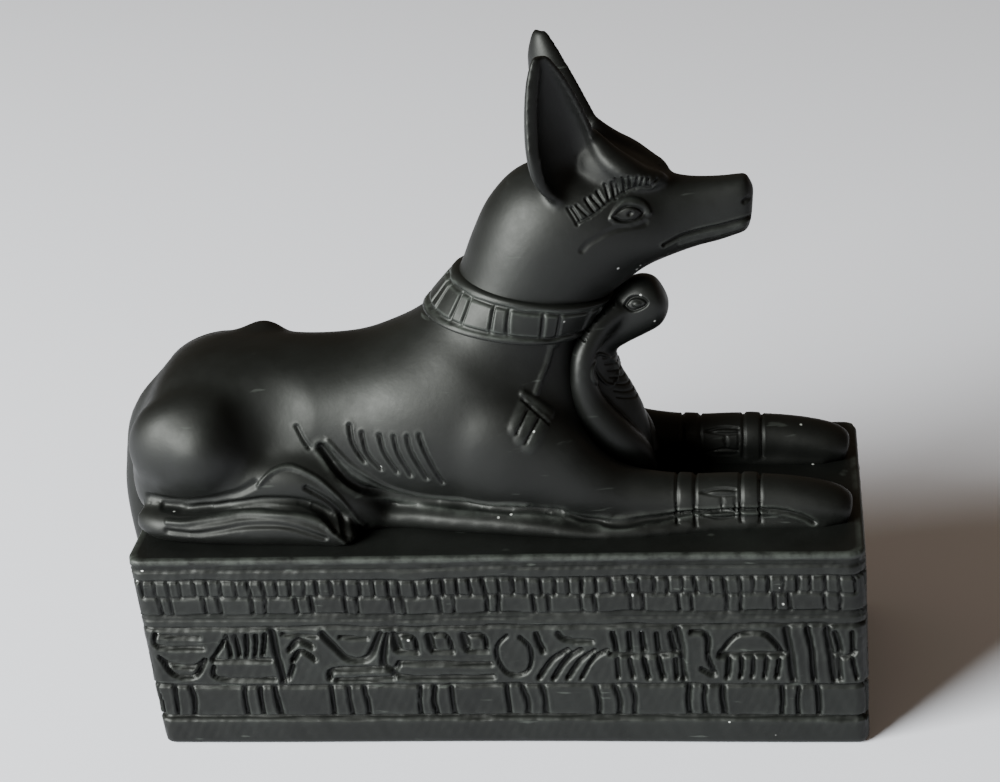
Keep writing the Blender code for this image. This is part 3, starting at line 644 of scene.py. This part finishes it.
def lying_edge(bm):
    """The low apron of resin that runs round the lying body and merges it with the plinth."""
    ribs(bm, [(-48.0, 1.3, -48.0, SINK, 9.0, 0.4, 3.0), (-44.0, 1.7, -44.0, SINK, 13.6, 0.4, 3.4),
              (-30.0, 1.7, -30.0, SINK, 14.2, 0.4, 3.6), (-15.0, 3.3, -15.0, SINK, 12.4, 0.5, 3.6),
              (-5.0, 3.5, -5.0, SINK, 14.0, 0.5, 3.6), (6.0, 3.1, 6.0, SINK, 15.6, 0.5, 3.6),
              (14.0, 1.9, 14.0, SINK, 16.0, 0.4, 3.6), (19.0, 1.6, 19.0, SINK, 15.4, 0.4, 3.6)])
    for side in (-1, 1):
        limb(bm, [(15.0, 11.6, 0.3, 4.4, 1.5), (22.0, 10.9, 0.3, 4.4, 1.5), (30.0, 10.2, 0.3, 3.7, 1.5),
                  (40.0, 9.6, 0.2, 3.6, 1.2), (46.0, LEG_SPREAD, 0.1, 3.4, 0.9)], square=3.0, side=side)


def tail(bm):
    """The tail drops from the rump and hangs down the plinth's rear face."""
    limb(bm, [(-44.5, 0, 19.2, 2.4, 2.0), (-48.4, 0, 16.0, 2.8, 2.2), (-51.0, 0, 11.4, 3.0, 2.5),
              (-51.8, 0, 5.7, 3.0, 2.7), (-52.3, 0, 0.0, 3.0, 2.8), (-51.8, 0, -8.8, 3.0, 2.7),
              (-51.1, 0, -16.5, 2.7, 2.5), (-50.6, 0, -20.4, 2.1, 2.2), (-49.9, 0, -22.0, 1.2, 1.6)],
         up=(-1, 0, 0.4))


def fuse(name, bm, voxel):
    """Fuses the overlapping forms of a bmesh into one skin, and gives it as a new mesh."""
    bmesh.ops.recalc_face_normals(bm, faces=bm.faces)
    rough = bpy.data.meshes.new(name + "_forms")
    bm.to_mesh(rough)
    bm.free()
    carrier = bpy.data.objects.new(name + "_forms", rough)
    bpy.context.scene.collection.objects.link(carrier)
    fusing = carrier.modifiers.new("fuse", "REMESH")
    fusing.mode = "VOXEL"
    fusing.voxel_size = voxel * MM
    done = bpy.data.meshes.new_from_object(carrier.evaluated_get(bpy.context.evaluated_depsgraph_get()))
    bpy.data.objects.remove(carrier)
    done.name = name
    return done


def points_of(mesh):
    """The mesh's points, in millimetres."""
    co = np.empty(len(mesh.vertices) * 3, np.float32)
    mesh.vertices.foreach_get("co", co)
    return co.reshape(-1, 3).astype(float) / MM


def move_points(mesh, co):
    """Puts the mesh's points at new places, given in millimetres."""
    mesh.vertices.foreach_set("co", (co * MM).astype(np.float32).ravel())
    mesh.update()


def normals_of(mesh):
    """The outward direction of the skin at each point."""
    n = np.empty(len(mesh.vertices) * 3, np.float32)
    mesh.vertex_normals.foreach_get("vector", n)
    return n.reshape(-1, 3).astype(float)


def relax(mesh, rounds, weight=None):
    """Softens the skin: each point moves towards the middle of its neighbours, by its weight."""
    pairs = np.empty(len(mesh.edges) * 2, np.int32)
    mesh.edges.foreach_get("vertices", pairs)
    a, b = pairs.reshape(-1, 2).T
    co = points_of(mesh)
    count = len(co)
    degree = (np.bincount(a, minlength=count) + np.bincount(b, minlength=count))[:, None]
    share = 0.5 if weight is None else 0.5 * weight(co)[:, None]
    for _ in range(rounds):
        sums = [np.bincount(a, co[b, i], count) + np.bincount(b, co[a, i], count) for i in range(3)]
        co = co + share * (np.stack(sums, 1) / degree - co)
    move_points(mesh, co)


def keep_half(mesh, above):
    """Cuts the mesh along the middle of the collar and keeps one part, closed."""
    middle = (COLLAR_LOW + COLLAR_HIGH) / 2
    top, low = Vector((middle[0], 0, middle[1])), Vector((middle[2], 0, middle[3]))
    upright = (low - top).cross(Vector((0, 1, 0))).normalized()
    bm = bmesh.new()
    bm.from_mesh(mesh)
    bmesh.ops.bisect_plane(bm, geom=bm.verts[:] + bm.edges[:] + bm.faces[:], plane_co=top * MM,
                           plane_no=upright, clear_outer=not above, clear_inner=above)
    bmesh.ops.holes_fill(bm, edges=[e for e in bm.edges if e.is_boundary], sides=0)
    bm.to_mesh(mesh)
    bm.free()


def refine(mesh, chosen):
    """Splits the faces where all points are chosen, so that fine carving has points to move."""
    bm = bmesh.new()
    bm.from_mesh(mesh)
    edges = [e for e in bm.edges if chosen[e.verts[0].index] and chosen[e.verts[1].index]]
    bmesh.ops.subdivide_edges(bm, edges=edges, cuts=1, use_grid_fill=True)
    bm.to_mesh(mesh)
    bm.free()


def carve(mesh, layout, draw):
    """Carves a mesh, and gives how much each of its points is lightened: part rubbed wear, part painted
    highlight on lips and ridges.

    The layout gives two coordinates and the places that may be cut, and draw makes the strokes. They are
    drawn once to find where the skin must be finer, and again to move its points.
    """
    relief = Relief(*layout(points_of(mesh), normals_of(mesh)))
    draw(relief)
    refine(mesh, relief.near)
    co, n = points_of(mesh), normals_of(mesh)
    relief = Relief(*layout(co, n))
    draw(relief)
    move_points(mesh, co - n * relief.depth()[:, None])
    # Lips and ridges are lightened in the resin's colour, partly as a painted highlight.
    return np.clip(relief.lip * 4 + relief.rise * 0.6, 0, 1)


def add_piece(name, mesh, material):
    """Puts a finished mesh on the plinth as a piece of the casting."""
    mesh.transform(TOP_OF_PLINTH)
    mesh.shade_smooth()
    piece = bpy.data.objects.new(name, mesh)
    bpy.context.scene.collection.objects.link(piece)
    cast_in_resin(piece, material)


def seen_sideways(co, wave, seed, pitch=1.0):
    """The skin's places along and up, as seen from the side, with a hand's unevenness."""
    along, up = co[:, 0], co[:, 2]
    return along + wave * waves(along, up, seed, pitch), up + wave * waves(along, up, seed + 1, pitch)


def flanks(co, n):
    """Both flanks seen from the side, where the skin faces sideways, without the insides of the forelegs."""
    outside = (co[:, 0] < 12) | (np.abs(co[:, 1]) > LEG_SPREAD - 0.4)
    return *seen_sideways(co, FLANK_WAVE, 1), (np.abs(n[:, 1]) > 0.12) & outside


def draw_trunk(relief):
    """The ribs, the hollow before the haunch, the haunch's crown, and the line along belly and foreleg."""
    for line in (((-18.9, 16.0), (-18.6, 13.3), (-17.0, 10.7)), ((-17.1, 15.1), (-16.6, 12.3), (-14.9, 9.7)),
                 ((-14.6, 14.8), (-14.1, 12.5), (-12.6, 9.5)), ((-12.6, 14.9), (-12.1, 12.4), (-10.6, 9.0)),
                 ((-10.6, 15.0), (-10.0, 12.2), (-8.5, 8.6)), ((-8.9, 15.2), (-8.1, 12.0), (-6.3, 8.0))):
        relief.cut(line, 0.75, 0.42, lip=0.12)
    relief.cut([(-26.4, 15.6), (-25.6, 14.0), (-24.7, 12.7)], 0.7, 0.35)
    relief.dip((-31.0, 17.0), (7.6, 6.6), 1.1)
    relief.dip((-38.8, 13.6), (6.5, 7.0), -1.1)
    belly = [(-23.0, 12.7), (-21.3, 10.4), (-19.0, 7.9), (-16.7, 6.2), (-13.2, 4.8), (-8.0, 4.0), (-1.0, 3.8),
             (5.0, 3.7), (9.6, 3.2), (12.9, 2.2), (16.5, 1.8), (20.7, 1.9), (26.2, 2.4), (33.1, 2.8),
             (37.3, 2.8), (40.0, 2.5), (42.5, 1.6), (44.0, 0.7)]
    relief.cut(belly[:9], 1.4, 0.8, lip=0.1)
    relief.cut(belly[8:], 0.8, 0.5, lip=0.15)
    relief.ridge([(-22.0, 13.6), (-19.8, 11.0), (-17.0, 8.6), (-13.6, 6.6), (-9.0, 5.3), (-3.0, 4.9),
                  (5.0, 4.7)], 0.9, 0.25)


def draw_hind_leg(relief):
    """The line under the haunch, the raised edges of the shin and foot, and the grooves beside them."""
    relief.cut([(-48.0, 5.9), (-44.0, 5.7), (-39.5, 6.4), (-35.5, 7.4), (-32.0, 8.9)], 1.6, 0.4, lip=0.0)
    relief.ridge([(-31.6, 8.6), (-29.6, 10.4), (-26.9, 10.9), (-23.8, 9.4), (-21.4, 7.2), (-19.4, 4.2),
                  (-18.0, 1.6)], 0.8, 0.35)
    relief.ridge([(-45.0, 3.6), (-40.0, 3.9), (-35.0, 4.8), (-30.0, 4.9), (-26.2, 4.6), (-22.5, 3.2),
                  (-19.9, 0.6)], 0.9, 0.35)
    relief.cut([(-46.0, 5.0), (-40.0, 5.1), (-35.0, 6.1), (-30.0, 6.6), (-26.4, 6.2), (-23.2, 4.7),
                (-21.0, 2.6)], 1.3, 0.5, lip=0.0)
    relief.cut([(-45.0, 2.5), (-40.2, 2.4), (-34.9, 3.4), (-29.9, 3.7), (-26.1, 3.1), (-22.6, 1.6)],
               1.1, 0.35, lip=0.0)
    relief.cut([(-25.0, 8.2), (-22.6, 6.4), (-20.6, 3.8), (-19.6, 1.6)], 1.1, 0.5, lip=0.0)


def draw_ornament(relief):
    """The ornament that hangs from the collar over the shoulder: a cord, a bead, and a slotted plate."""
    relief.ridge([(9.2, 25.2), (8.5, 23.2), (7.6, 21.4), (6.9, 19.6)], 1.1, 0.3)
    relief.dome((9.4, 25.5), (0.9, 0.8), 0.4)
    for start, end in (((5.8, 18.7), (4.5, 16.4)), ((6.9, 17.7), (5.3, 15.0)), ((8.0, 16.7), (6.2, 13.9))):
        relief.ridge([start, end], 2.7, 0.28)
    relief.ridge([(5.3, 19.9), (8.8, 16.8)], 1.2, 0.35)
    for start, end in (((5.9, 17.9), (4.6, 15.6)), ((7.3, 16.7), (5.7, 14.2))):
        relief.cut([start, end], 0.45, 0.4, lip=0.0)
    relief.cut([(5.2, 19.2), (8.6, 16.0)], 0.4, 0.35, lip=0.0)


def draw_flanks(relief):
    """All that is carved on a flank."""
    draw_trunk(relief)
    draw_hind_leg(relief)
    draw_ornament(relief)


def round_forelegs(co, n):
    """Both forelegs unrolled: along the leg, and round it from the top, outwards being positive."""
    out = np.abs(co[:, 1]) - LEG_SPREAD
    up = co[:, 2] - LEG_MIDDLE + 1.5
    reach = (co[:, 0] > 24) & (co[:, 0] < 38.5) & (co[:, 2] < 8) & (co[:, 2] > 0.9) & (np.abs(out) < 4.5)
    return co[:, 0] + 0.08 * waves(co[:, 1], co[:, 2], 6), np.arctan2(out, up) * 3.6, reach


def draw_armlets(relief):
    """Two bands round each foreleg, with a framed panel between them."""
    for start, end in ((25.5, 28.0), (34.2, 36.8)):
        relief.ridge([((start + end) / 2, -8.5), ((start + end) / 2, 8.5)], (end - start) * 1.5, 0.15)
        for line in (start, end):
            relief.cut([(line, -8.5), (line, 8.5)], 0.5, 0.42, lip=0.0)
    for sign in (-1, 1):
        for line, spread in ((2.2, 0.35), (4.9, 0.45)):
            near = [(28.9, line * sign), (31.2, (line - spread) * sign), (33.5, (line - 0.2) * sign)]
            far = [(28.9, line * sign), (31.2, (line + spread) * sign), (33.5, (line + 0.3) * sign)]
            relief.cut(near, 0.4, 0.3)
            relief.cut(far, 0.35, 0.2)
        relief.cut([(31.6, 2.8 * sign), (31.7, 4.0 * sign)], 0.4, 0.2)
        relief.cut([(33.5, 2.2 * sign), (33.5, 4.9 * sign)], 0.35, 0.2)


def broad_masses(co):
    """Where the body is softened most: the haunches, back and shoulders, and not the feet."""
    return 0.15 + 0.85 * np.clip((co[:, 2] - 5.0) / 5.0, 0, 1)


form = bmesh.new()
ribs(form, TRUNK[:NECK_HEAD])
lying_edge(form)
tail(form)
for side in (-1, 1):
    hind_leg(form, side)
    fore_leg(form, side)
body = fuse("jackal_body", form, BODY_VOXEL)
relax(body, BODY_SOFTENING, broad_masses)
keep_half(body, above=False)
carve(body, round_forelegs, draw_armlets)
set_wear_and_highlight(body, carve(body, flanks, draw_flanks))
jackal_resin = cast_resin("jackal_resin", tone=0.003, dusty=0.6, dull=0.5, grain=0.4)
add_piece("jackal_body", body, jackal_resin)

# The head and neck.
# Part of the same casting. Tall ears are scooped out, and the brow, eye and mouth are cut in by hand.

EAR_TURN = math.radians(38)
EAR_REAR_RIM = 1.7
FAR_EAR_LEAN = 1.1
HEAD_VOXEL = 0.3
HEAD_SOFTENING = 16
FINE_WAVE = 0.05
FINE_PITCH = 1.6
BROW_STROKES = 15
EAR_KEYS = (
    # x, y, z, half width, depth of the scoop, wall
    (13.2, 5.9, 44.7, 1.2, 1.0, 0.9),
    (13.0, 6.3, 46.7, 3.8, 2.6, 1.6),
    (12.8, 6.5, 49.3, 5.2, 3.6, 1.1),
    (12.4, 6.5, 52.7, 5.4, 3.8, 1.0),
    (11.8, 6.3, 56.2, 4.8, 3.4, 1.0),
    (11.2, 6.3, 59.5, 3.9, 2.8, 1.0),
    (10.7, 6.3, 62.3, 2.9, 2.2, 1.0),
    (10.3, 6.3, 64.4, 1.8, 1.5, 0.9),
    (10.1, 6.3, 65.4, 1.1, 1.0, 0.7),
)


def ear(bm, side, around=25, steps=8):
    """One tall ear: a leaf-shaped scoop that opens outwards and a little forwards, thickest behind."""
    face =np.array([math.sin(EAR_TURN), side * math.cos(EAR_TURN), 0])
    across = np.array([math.cos(EAR_TURN), -side * math.sin(EAR_TURN), 0])
    sweep = np.linspace(-math.pi / 2, math.pi / 2, around)
    rings = []
    for x, y, z, half, deep, wall in flow(EAR_KEYS, steps):
        lean = FAR_EAR_LEAN * np.clip((z - 52.0) / 10.0, 0, 1) * (side > 0)
        centre = np.array([x - lean, side * y, z])
        rear = max(min(EAR_REAR_RIM, half * 0.7), wall)
        hollow_half, hollow_deep = max(half - (rear + wall) / 2, 0.1), max(deep - wall, 0.05)
        shell = centre + np.outer(np.sin(sweep) * half, across) - np.outer(np.cos(sweep) * deep, face)
        hollow = centre + face * 0.25 + across * (rear - wall) / 2
        hollow = hollow + np.outer(np.sin(sweep[::-1]) * hollow_half, across)
        rings.append(np.vstack([shell, hollow - np.outer(np.cos(sweep[::-1]) * hollow_deep, face)]))
    skin(bm, rings)


def face_forms(bm, side):
    """The side of the forehead, which falls from the ear to the brow, and the eye."""
    limb(bm, [(15.4, 2.2, 54.0, 0.7, 0.8), (16.5, 2.6, 52.2, 1.4, 1.3), (17.9, 3.2, 50.4, 2.1, 1.7),
              (19.9, 3.5, 48.9, 2.6, 1.8), (22.3, 2.9, 47.5, 2.4, 1.5), (24.4, 2.1, 46.8, 1.6, 1.1),
              (25.4, 1.8, 46.2, 0.6, 0.6)], around=24, side=side)
    limb(bm, [(18.7, 5.3, 43.7, 0.5, 0.6), (19.7, 5.6, 43.8, 1.1, 1.3), (21.0, 5.4, 43.8, 1.2, 1.4),
              (22.4, 4.8, 43.7, 0.5, 0.6)], around=20, side=side)


def face_sides(co, n):
    """Both sides of the face seen from the side, clear of the middle line."""
    return *seen_sideways(co, FINE_WAVE, 21, FINE_PITCH), (np.abs(n[:, 1]) > 0.1) & (np.abs(co[:, 1]) > 0.7)


def draw_face(relief):
    """The hatched brow between its two lines, the eye and its lids, the cheek, the mouth and the nostril."""
    low = flow([(13.6, 43.0), (16.1, 44.2), (17.9, 45.4), (19.6, 46.1), (21.6, 46.7), (23.8, 46.6)], 6)
    high = flow([(12.6, 45.1), (15.3, 46.2), (17.8, 47.7), (20.2, 48.6), (22.6, 48.4), (24.6, 47.3)], 6)
    draw = np.random.default_rng(31)
    relief.cut(low[::4], 0.5, 0.3, lip=0.0)
    for share in np.linspace(0.02, 0.98, BROW_STROKES):
        foot = low[int(share * (len(low) - 1))] + draw.uniform(-0.15, 0.2, 2)
        head = high[int(max(share - 0.04, 0) * (len(high) - 1))] + draw.uniform(-0.35, 0.15, 2)
        relief.cut([foot, head], draw.uniform(0.4, 0.6), draw.uniform(0.22, 0.36), lip=0.1)
    relief.ridge([(18.2, 43.3), (19.0, 44.5), (20.2, 45.2), (21.5, 45.0), (22.6, 44.2), (23.0, 43.2)],
                 1.0, 0.3)
    relief.ridge([(18.5, 42.8), (19.5, 42.3), (20.8, 42.0), (22.0, 42.3)], 0.8, 0.12)
    relief.cut([(18.4, 43.5), (19.3, 44.3), (20.4, 44.7), (21.5, 44.4), (22.3, 43.6), (21.9, 42.9),
                (20.7, 42.6), (19.4, 42.8), (18.4, 43.5)], 0.5, 0.35, lip=0.0)
    relief.cut([(20.6, 43.6), (20.8, 43.7)], 0.8, 0.35, lip=0.0)
    relief.cut([(22.5, 42.0), (18.6, 41.8), (15.6, 40.6), (14.2, 39.4)], 1.2, 0.2, lip=0.0)
    relief.cut([(36.2, 41.0), (33.9, 40.5), (30.6, 39.9), (27.0, 39.3), (24.9, 38.4)], 0.8, 0.5, lip=0.1)
    relief.ridge([(35.4, 39.8), (31.0, 38.8), (27.0, 38.1)], 1.1, 0.2)
    relief.cut([(36.0, 43.7), (35.6, 43.4)], 0.9, 0.4, lip=0.0)


def skull(co):
    """Where the head is softened most: the skull and neck, less the ears and the muzzle's end."""
    return 1.0 - 0.65 * np.clip((co[:, 2] - 49.0) / 3.0, 0, 1) - 0.5 * np.clip((co[:, 0] - 33.0) / 3.0, 0, 1)


form = bmesh.new()
ribs(form, TRUNK[NECK_FOOT:])
ribs(form, [(14.2, 53.4, 12.0, 48.0, 2.6, 0.5, 2.2), (15.9, 52.6, 13.6, 46.0, 4.2, 0.5, 2.4),
            (18.6, 51.0, 16.4, 44.0, 5.2, 0.5, 2.5), (21.4, 49.4, 19.4, 43.0, 4.9, 0.5, 2.5),
            (24.2, 47.7, 22.6, 43.0, 3.8, 0.5, 2.4), (26.2, 46.4, 25.0, 43.4, 2.4, 0.5, 2.2)])
for side in (-1, 1):
    ear(form, side)
    face_forms(form, side)
head = fuse("jackal_head", form, HEAD_VOXEL)
relax(head, HEAD_SOFTENING, skull)
keep_half(head, above=True)
set_wear_and_highlight(head, carve(head, face_sides, draw_face))
add_piece("jackal_head", head, jackal_resin)

# The collar.
# A raised band round the neck with a rim above and below, and panels parted by pairs of cut lines.

COLLAR_PANELS = 11
COLLAR_PITCH = 6.1
COLLAR_BAND = 6.0
COLLAR_RISE = 0.75
COLLAR_SINK = -0.8
COLLAR_TURN = 0.32
COLLAR_WAVE = 0.1
RIM_WIDTH = 1.15
PAIR_GAP = 1.0


def make_collar(around=440, rows=28):
    """The band as a fine skin from inside the neck, out over the rims and panels, and back in."""
    shares = np.concatenate([[0.0], np.linspace(0, 1, rows), [1.0]])
    a, b = np.meshgrid(np.arange(around) / around * COLLAR_PANELS * COLLAR_PITCH, shares * COLLAR_BAND)
    relief = Relief(a + COLLAR_WAVE * waves(a, b, 51), b + COLLAR_WAVE * waves(a, b, 52))
    for k in range(COLLAR_PANELS):
        place = (k + 0.5) * COLLAR_PITCH
        for edge in (place - PAIR_GAP, place + PAIR_GAP):
            relief.cut([(edge, 1.3), (edge + 0.1, 4.7)], 0.6, 0.42)
    for level in (RIM_WIDTH, COLLAR_BAND - RIM_WIDTH):
        relief.cut([(-5, level), (COLLAR_PANELS * COLLAR_PITCH + 5, level)], 0.6, 0.45)
    carving = relief.depth()
    depth = 0.8 * carving + 0.3 * soften(carving, 4)
    rise = np.full(len(shares), COLLAR_RISE)
    rise[[0, -1]] = COLLAR_SINK
    rise[[1, -2]] = COLLAR_RISE * 0.5
    rings = []
    for k, share in enumerate(shares):
        row = COLLAR_LOW + (COLLAR_HIGH - COLLAR_LOW) * share
        inner = rib_ring(row, around, -1.0, COLLAR_TURN * share)
        outer = rib_ring(row, around, 1.0, COLLAR_TURN * share)
        rings.append(inner + (outer - inner) * ((rise[k] - depth[k] + 1.0) / 2.0)[:, None])
    bm = bmesh.new()
    skin(bm, rings)
    bmesh.ops.recalc_face_normals(bm, faces=bm.faces)
    mesh = bpy.data.meshes.new("collar")
    bm.to_mesh(mesh)
    bm.free()
    # The lips beside the cuts are lightened: part rubbed wear, part painted highlight.
    set_wear_and_highlight(mesh, np.clip(relief.lip * 10, 0, 1))
    return mesh


collar_resin = cast_resin("collar_resin", tone=0.004, dusty=0.8, dull=0.46, grain=0.4)
add_piece("collar", make_collar(), collar_resin)

# The cobra.
# A rearing cobra stands between the forelegs with its head under the jackal's chin: a smooth neck that
# bends back in an S, a spread hood with a raised rim, and a ridged belly in front.

COBRA_VOXEL = 0.26
COBRA_SOFTENING = 10
BELLY_STROKES = 7


def cobra_sides(co, n):
    """Both sides of the cobra seen from the side."""
    return *seen_sideways(co, FINE_WAVE, 41, FINE_PITCH), np.abs(n[:, 1]) > 0.05


def draw_cobra(relief):
    """The eye, the strokes across the belly, an oval on the hood, and nicks down the back of the neck."""
    relief.cut([(19.0, 29.1), (20.0, 28.4), (21.2, 28.7), (22.1, 29.6), (21.0, 30.3), (19.8, 30.1),
                (19.0, 29.1)], 0.5, 0.4, lip=0.0)
    relief.dome((20.6, 29.4), (0.8, 0.6), 0.3)
    for k in range(BELLY_STROKES):
        start, end = (15.6 + 0.28 * k, 21.2 - 0.95 * k), (17.4 + 0.42 * k, 20.8 - 1.05 * k)
        relief.cut([start, end], 0.35, 0.15, lip=0.0)
    oval = [(15.9 + 1.5 * math.sin(t) - 0.4 * math.cos(t), 19.6 + 2.3 * math.cos(t) - 0.6 * math.sin(t))
            for t in np.linspace(0, 2 * math.pi, 13)]
    relief.ridge(oval, 0.5, 0.25)
    for start, end in (((12.4, 25.6), (13.6, 25.2)), ((13.0, 27.0), (14.1, 26.4)),
                       ((14.2, 28.4), (15.1, 27.5)), ((15.7, 29.5), (16.3, 28.4)),
                       ((17.1, 30.4), (17.6, 29.3))):
        relief.cut([start, end], 0.4, 0.15, lip=0.2)


form = bmesh.new()
ribs(form, [(12.0, SINK, 21.5, SINK, 3.6, 0.5, 2.0), (12.0, 5.7, 21.8, 6.3, 3.8, 0.5, 2.0),
            (11.6, 10.7, 21.0, 11.5, 3.8, 0.5, 2.0), (11.2, 15.2, 19.6, 15.3, 3.5, 0.5, 2.0),
            (11.2, 19.1, 17.9, 18.7, 3.0, 0.5, 2.0), (12.2, 22.9, 17.4, 21.3, 2.8, 0.5, 2.0),
            (14.4, 26.8, 18.9, 22.5, 2.9, 0.5, 2.0), (17.2, 30.1, 21.4, 23.8, 3.2, 0.5, 2.1),
            (20.2, 32.2, 23.6, 25.1, 3.3, 0.5, 2.2), (22.7, 32.0, 24.6, 26.7, 2.8, 0.5, 2.2),
            (24.1, 30.2, 24.9, 28.2, 1.3, 0.5, 2.0)], around=40)
ribs(form, [(15.2, 26.7, 16.6, 25.7, 2.4, 0.5, 2.2), (12.4, 22.9, 14.6, 22.1, 4.6, 0.5, 2.4),
            (11.8, 19.1, 14.2, 18.9, 5.6, 0.5, 2.4), (12.4, 15.3, 15.2, 16.3, 5.6, 0.5, 2.4),
            (14.0, 10.7, 17.4, 12.7, 5.0, 0.5, 2.4), (16.0, 5.7, 20.0, 8.3, 3.8, 0.5, 2.4)], around=40)
for side in (-1, 1):
    limb(form, [(18.4, 1.8, 28.2, 1.7, 1.7), (15.5, 3.1, 26.2, 1.9, 1.8), (13.4, 4.7, 23.2, 1.9, 1.7),
                (12.9, 5.4, 20.0, 1.9, 1.8), (13.3, 5.5, 16.6, 2.1, 2.2), (14.6, 5.2, 13.2, 2.6, 2.8),
                (17.0, 4.5, 9.8, 2.8, 3.0), (19.5, 3.4, 7.0, 2.3, 2.5), (20.8, 2.5, 3.7, 1.6, 1.8)],
         around=24, up=(-1, 0, 0.3), side=side)
cobra = fuse("cobra", form, COBRA_VOXEL)
relax(cobra, COBRA_SOFTENING)
set_wear_and_highlight(cobra, carve(cobra, cobra_sides, draw_cobra))
cobra_resin = cast_resin("cobra_resin", tone=0.003, dusty=0.6, dull=0.44, grain=0.4)
add_piece("cobra", cobra, cobra_resin)

# The studio.
# A pale paper floor, one soft window light low at the front left, and the camera.

CAMERA_AZIMUTH = 8.0
CAMERA_ELEVATION = 24.5
CAMERA_ROLL = -4.4
CAMERA_DISTANCE = 336.66
CAMERA_AIM = (-0.461, 0.0, 45.597)
FOCAL_PIXELS = 2400.0
PHOTO_WIDTH = 1000.0
SENSOR_WIDTH = 36.0
FLOOR_REACH = 2.5
FLOOR_COLOUR = (0.89, 0.89, 1.0, 1)
FLOOR_ROUGHNESS = 0.9
WINDOW_PLACE = (-0.74, -0.6, 0.4)
WINDOW_AIM = (0, 0, 0.03)
WINDOW_SIZE = (0.6, 0.5)
WINDOW_WATTS = 46.0
WINDOW_COLOUR = (0.96, 1.0, 0.94)
ROOM_COLOUR = (1.0, 0.8, 0.58, 1)
ROOM_STRENGTH = 0.14

azimuth, elevation, roll = map(math.radians, (CAMERA_AZIMUTH, CAMERA_ELEVATION, CAMERA_ROLL))
level = Vector((math.cos(azimuth), math.sin(azimuth), 0))
away = math.cos(elevation)
back = Vector((math.sin(azimuth) * away, -math.cos(azimuth) * away, math.sin(elevation)))
upright = back.cross(level)
right = math.cos(roll) * level + math.sin(roll) * upright
up = -math.sin(roll) * level + math.cos(roll) * upright
lens = bpy.data.cameras.new("camera")
lens.sensor_width = SENSOR_WIDTH
lens.lens = FOCAL_PIXELS / PHOTO_WIDTH * SENSOR_WIDTH
lens.clip_start = 0.01
camera = bpy.data.objects.new("camera", lens)
bpy.context.scene.collection.objects.link(camera)
stand = (Vector(CAMERA_AIM) + back * CAMERA_DISTANCE) * MM
camera.matrix_world = Matrix.Translation(stand) @ Matrix((right, up, back)).transposed().to_4x4()
bpy.context.scene.camera = camera

floor_mesh = bpy.data.meshes.new("floor")
corners = [(x * FLOOR_REACH, y * FLOOR_REACH, 0.0) for x, y in ((-1, -1), (1, -1), (1, 1), (-1, 1))]
floor_mesh.from_pydata(corners, [], [(0, 1, 2, 3)])
floor = bpy.data.objects.new("floor", floor_mesh)
bpy.context.scene.collection.objects.link(floor)
paper = Finish("pale_paper")
paper.plug(paper.shader.inputs["Base Color"], FLOOR_COLOUR)
paper.plug(paper.shader.inputs["Roughness"], FLOOR_ROUGHNESS)
floor_mesh.materials.append(paper.material)

lamp = bpy.data.lights.new("window", "AREA")
lamp.shape = "RECTANGLE"
lamp.size, lamp.size_y = WINDOW_SIZE
lamp.energy = WINDOW_WATTS
lamp.color = WINDOW_COLOUR
window = bpy.data.objects.new("window", lamp)
bpy.context.scene.collection.objects.link(window)
window.location = WINDOW_PLACE
window.rotation_euler = (Vector(WINDOW_PLACE) - Vector(WINDOW_AIM)).to_track_quat("Z", "Y").to_euler()

world = bpy.data.worlds.new("room")
world.use_nodes = True
world.node_tree.nodes["Background"].inputs["Color"].default_value = ROOM_COLOUR
world.node_tree.nodes["Background"].inputs["Strength"].default_value = ROOM_STRENGTH
bpy.context.scene.world = world
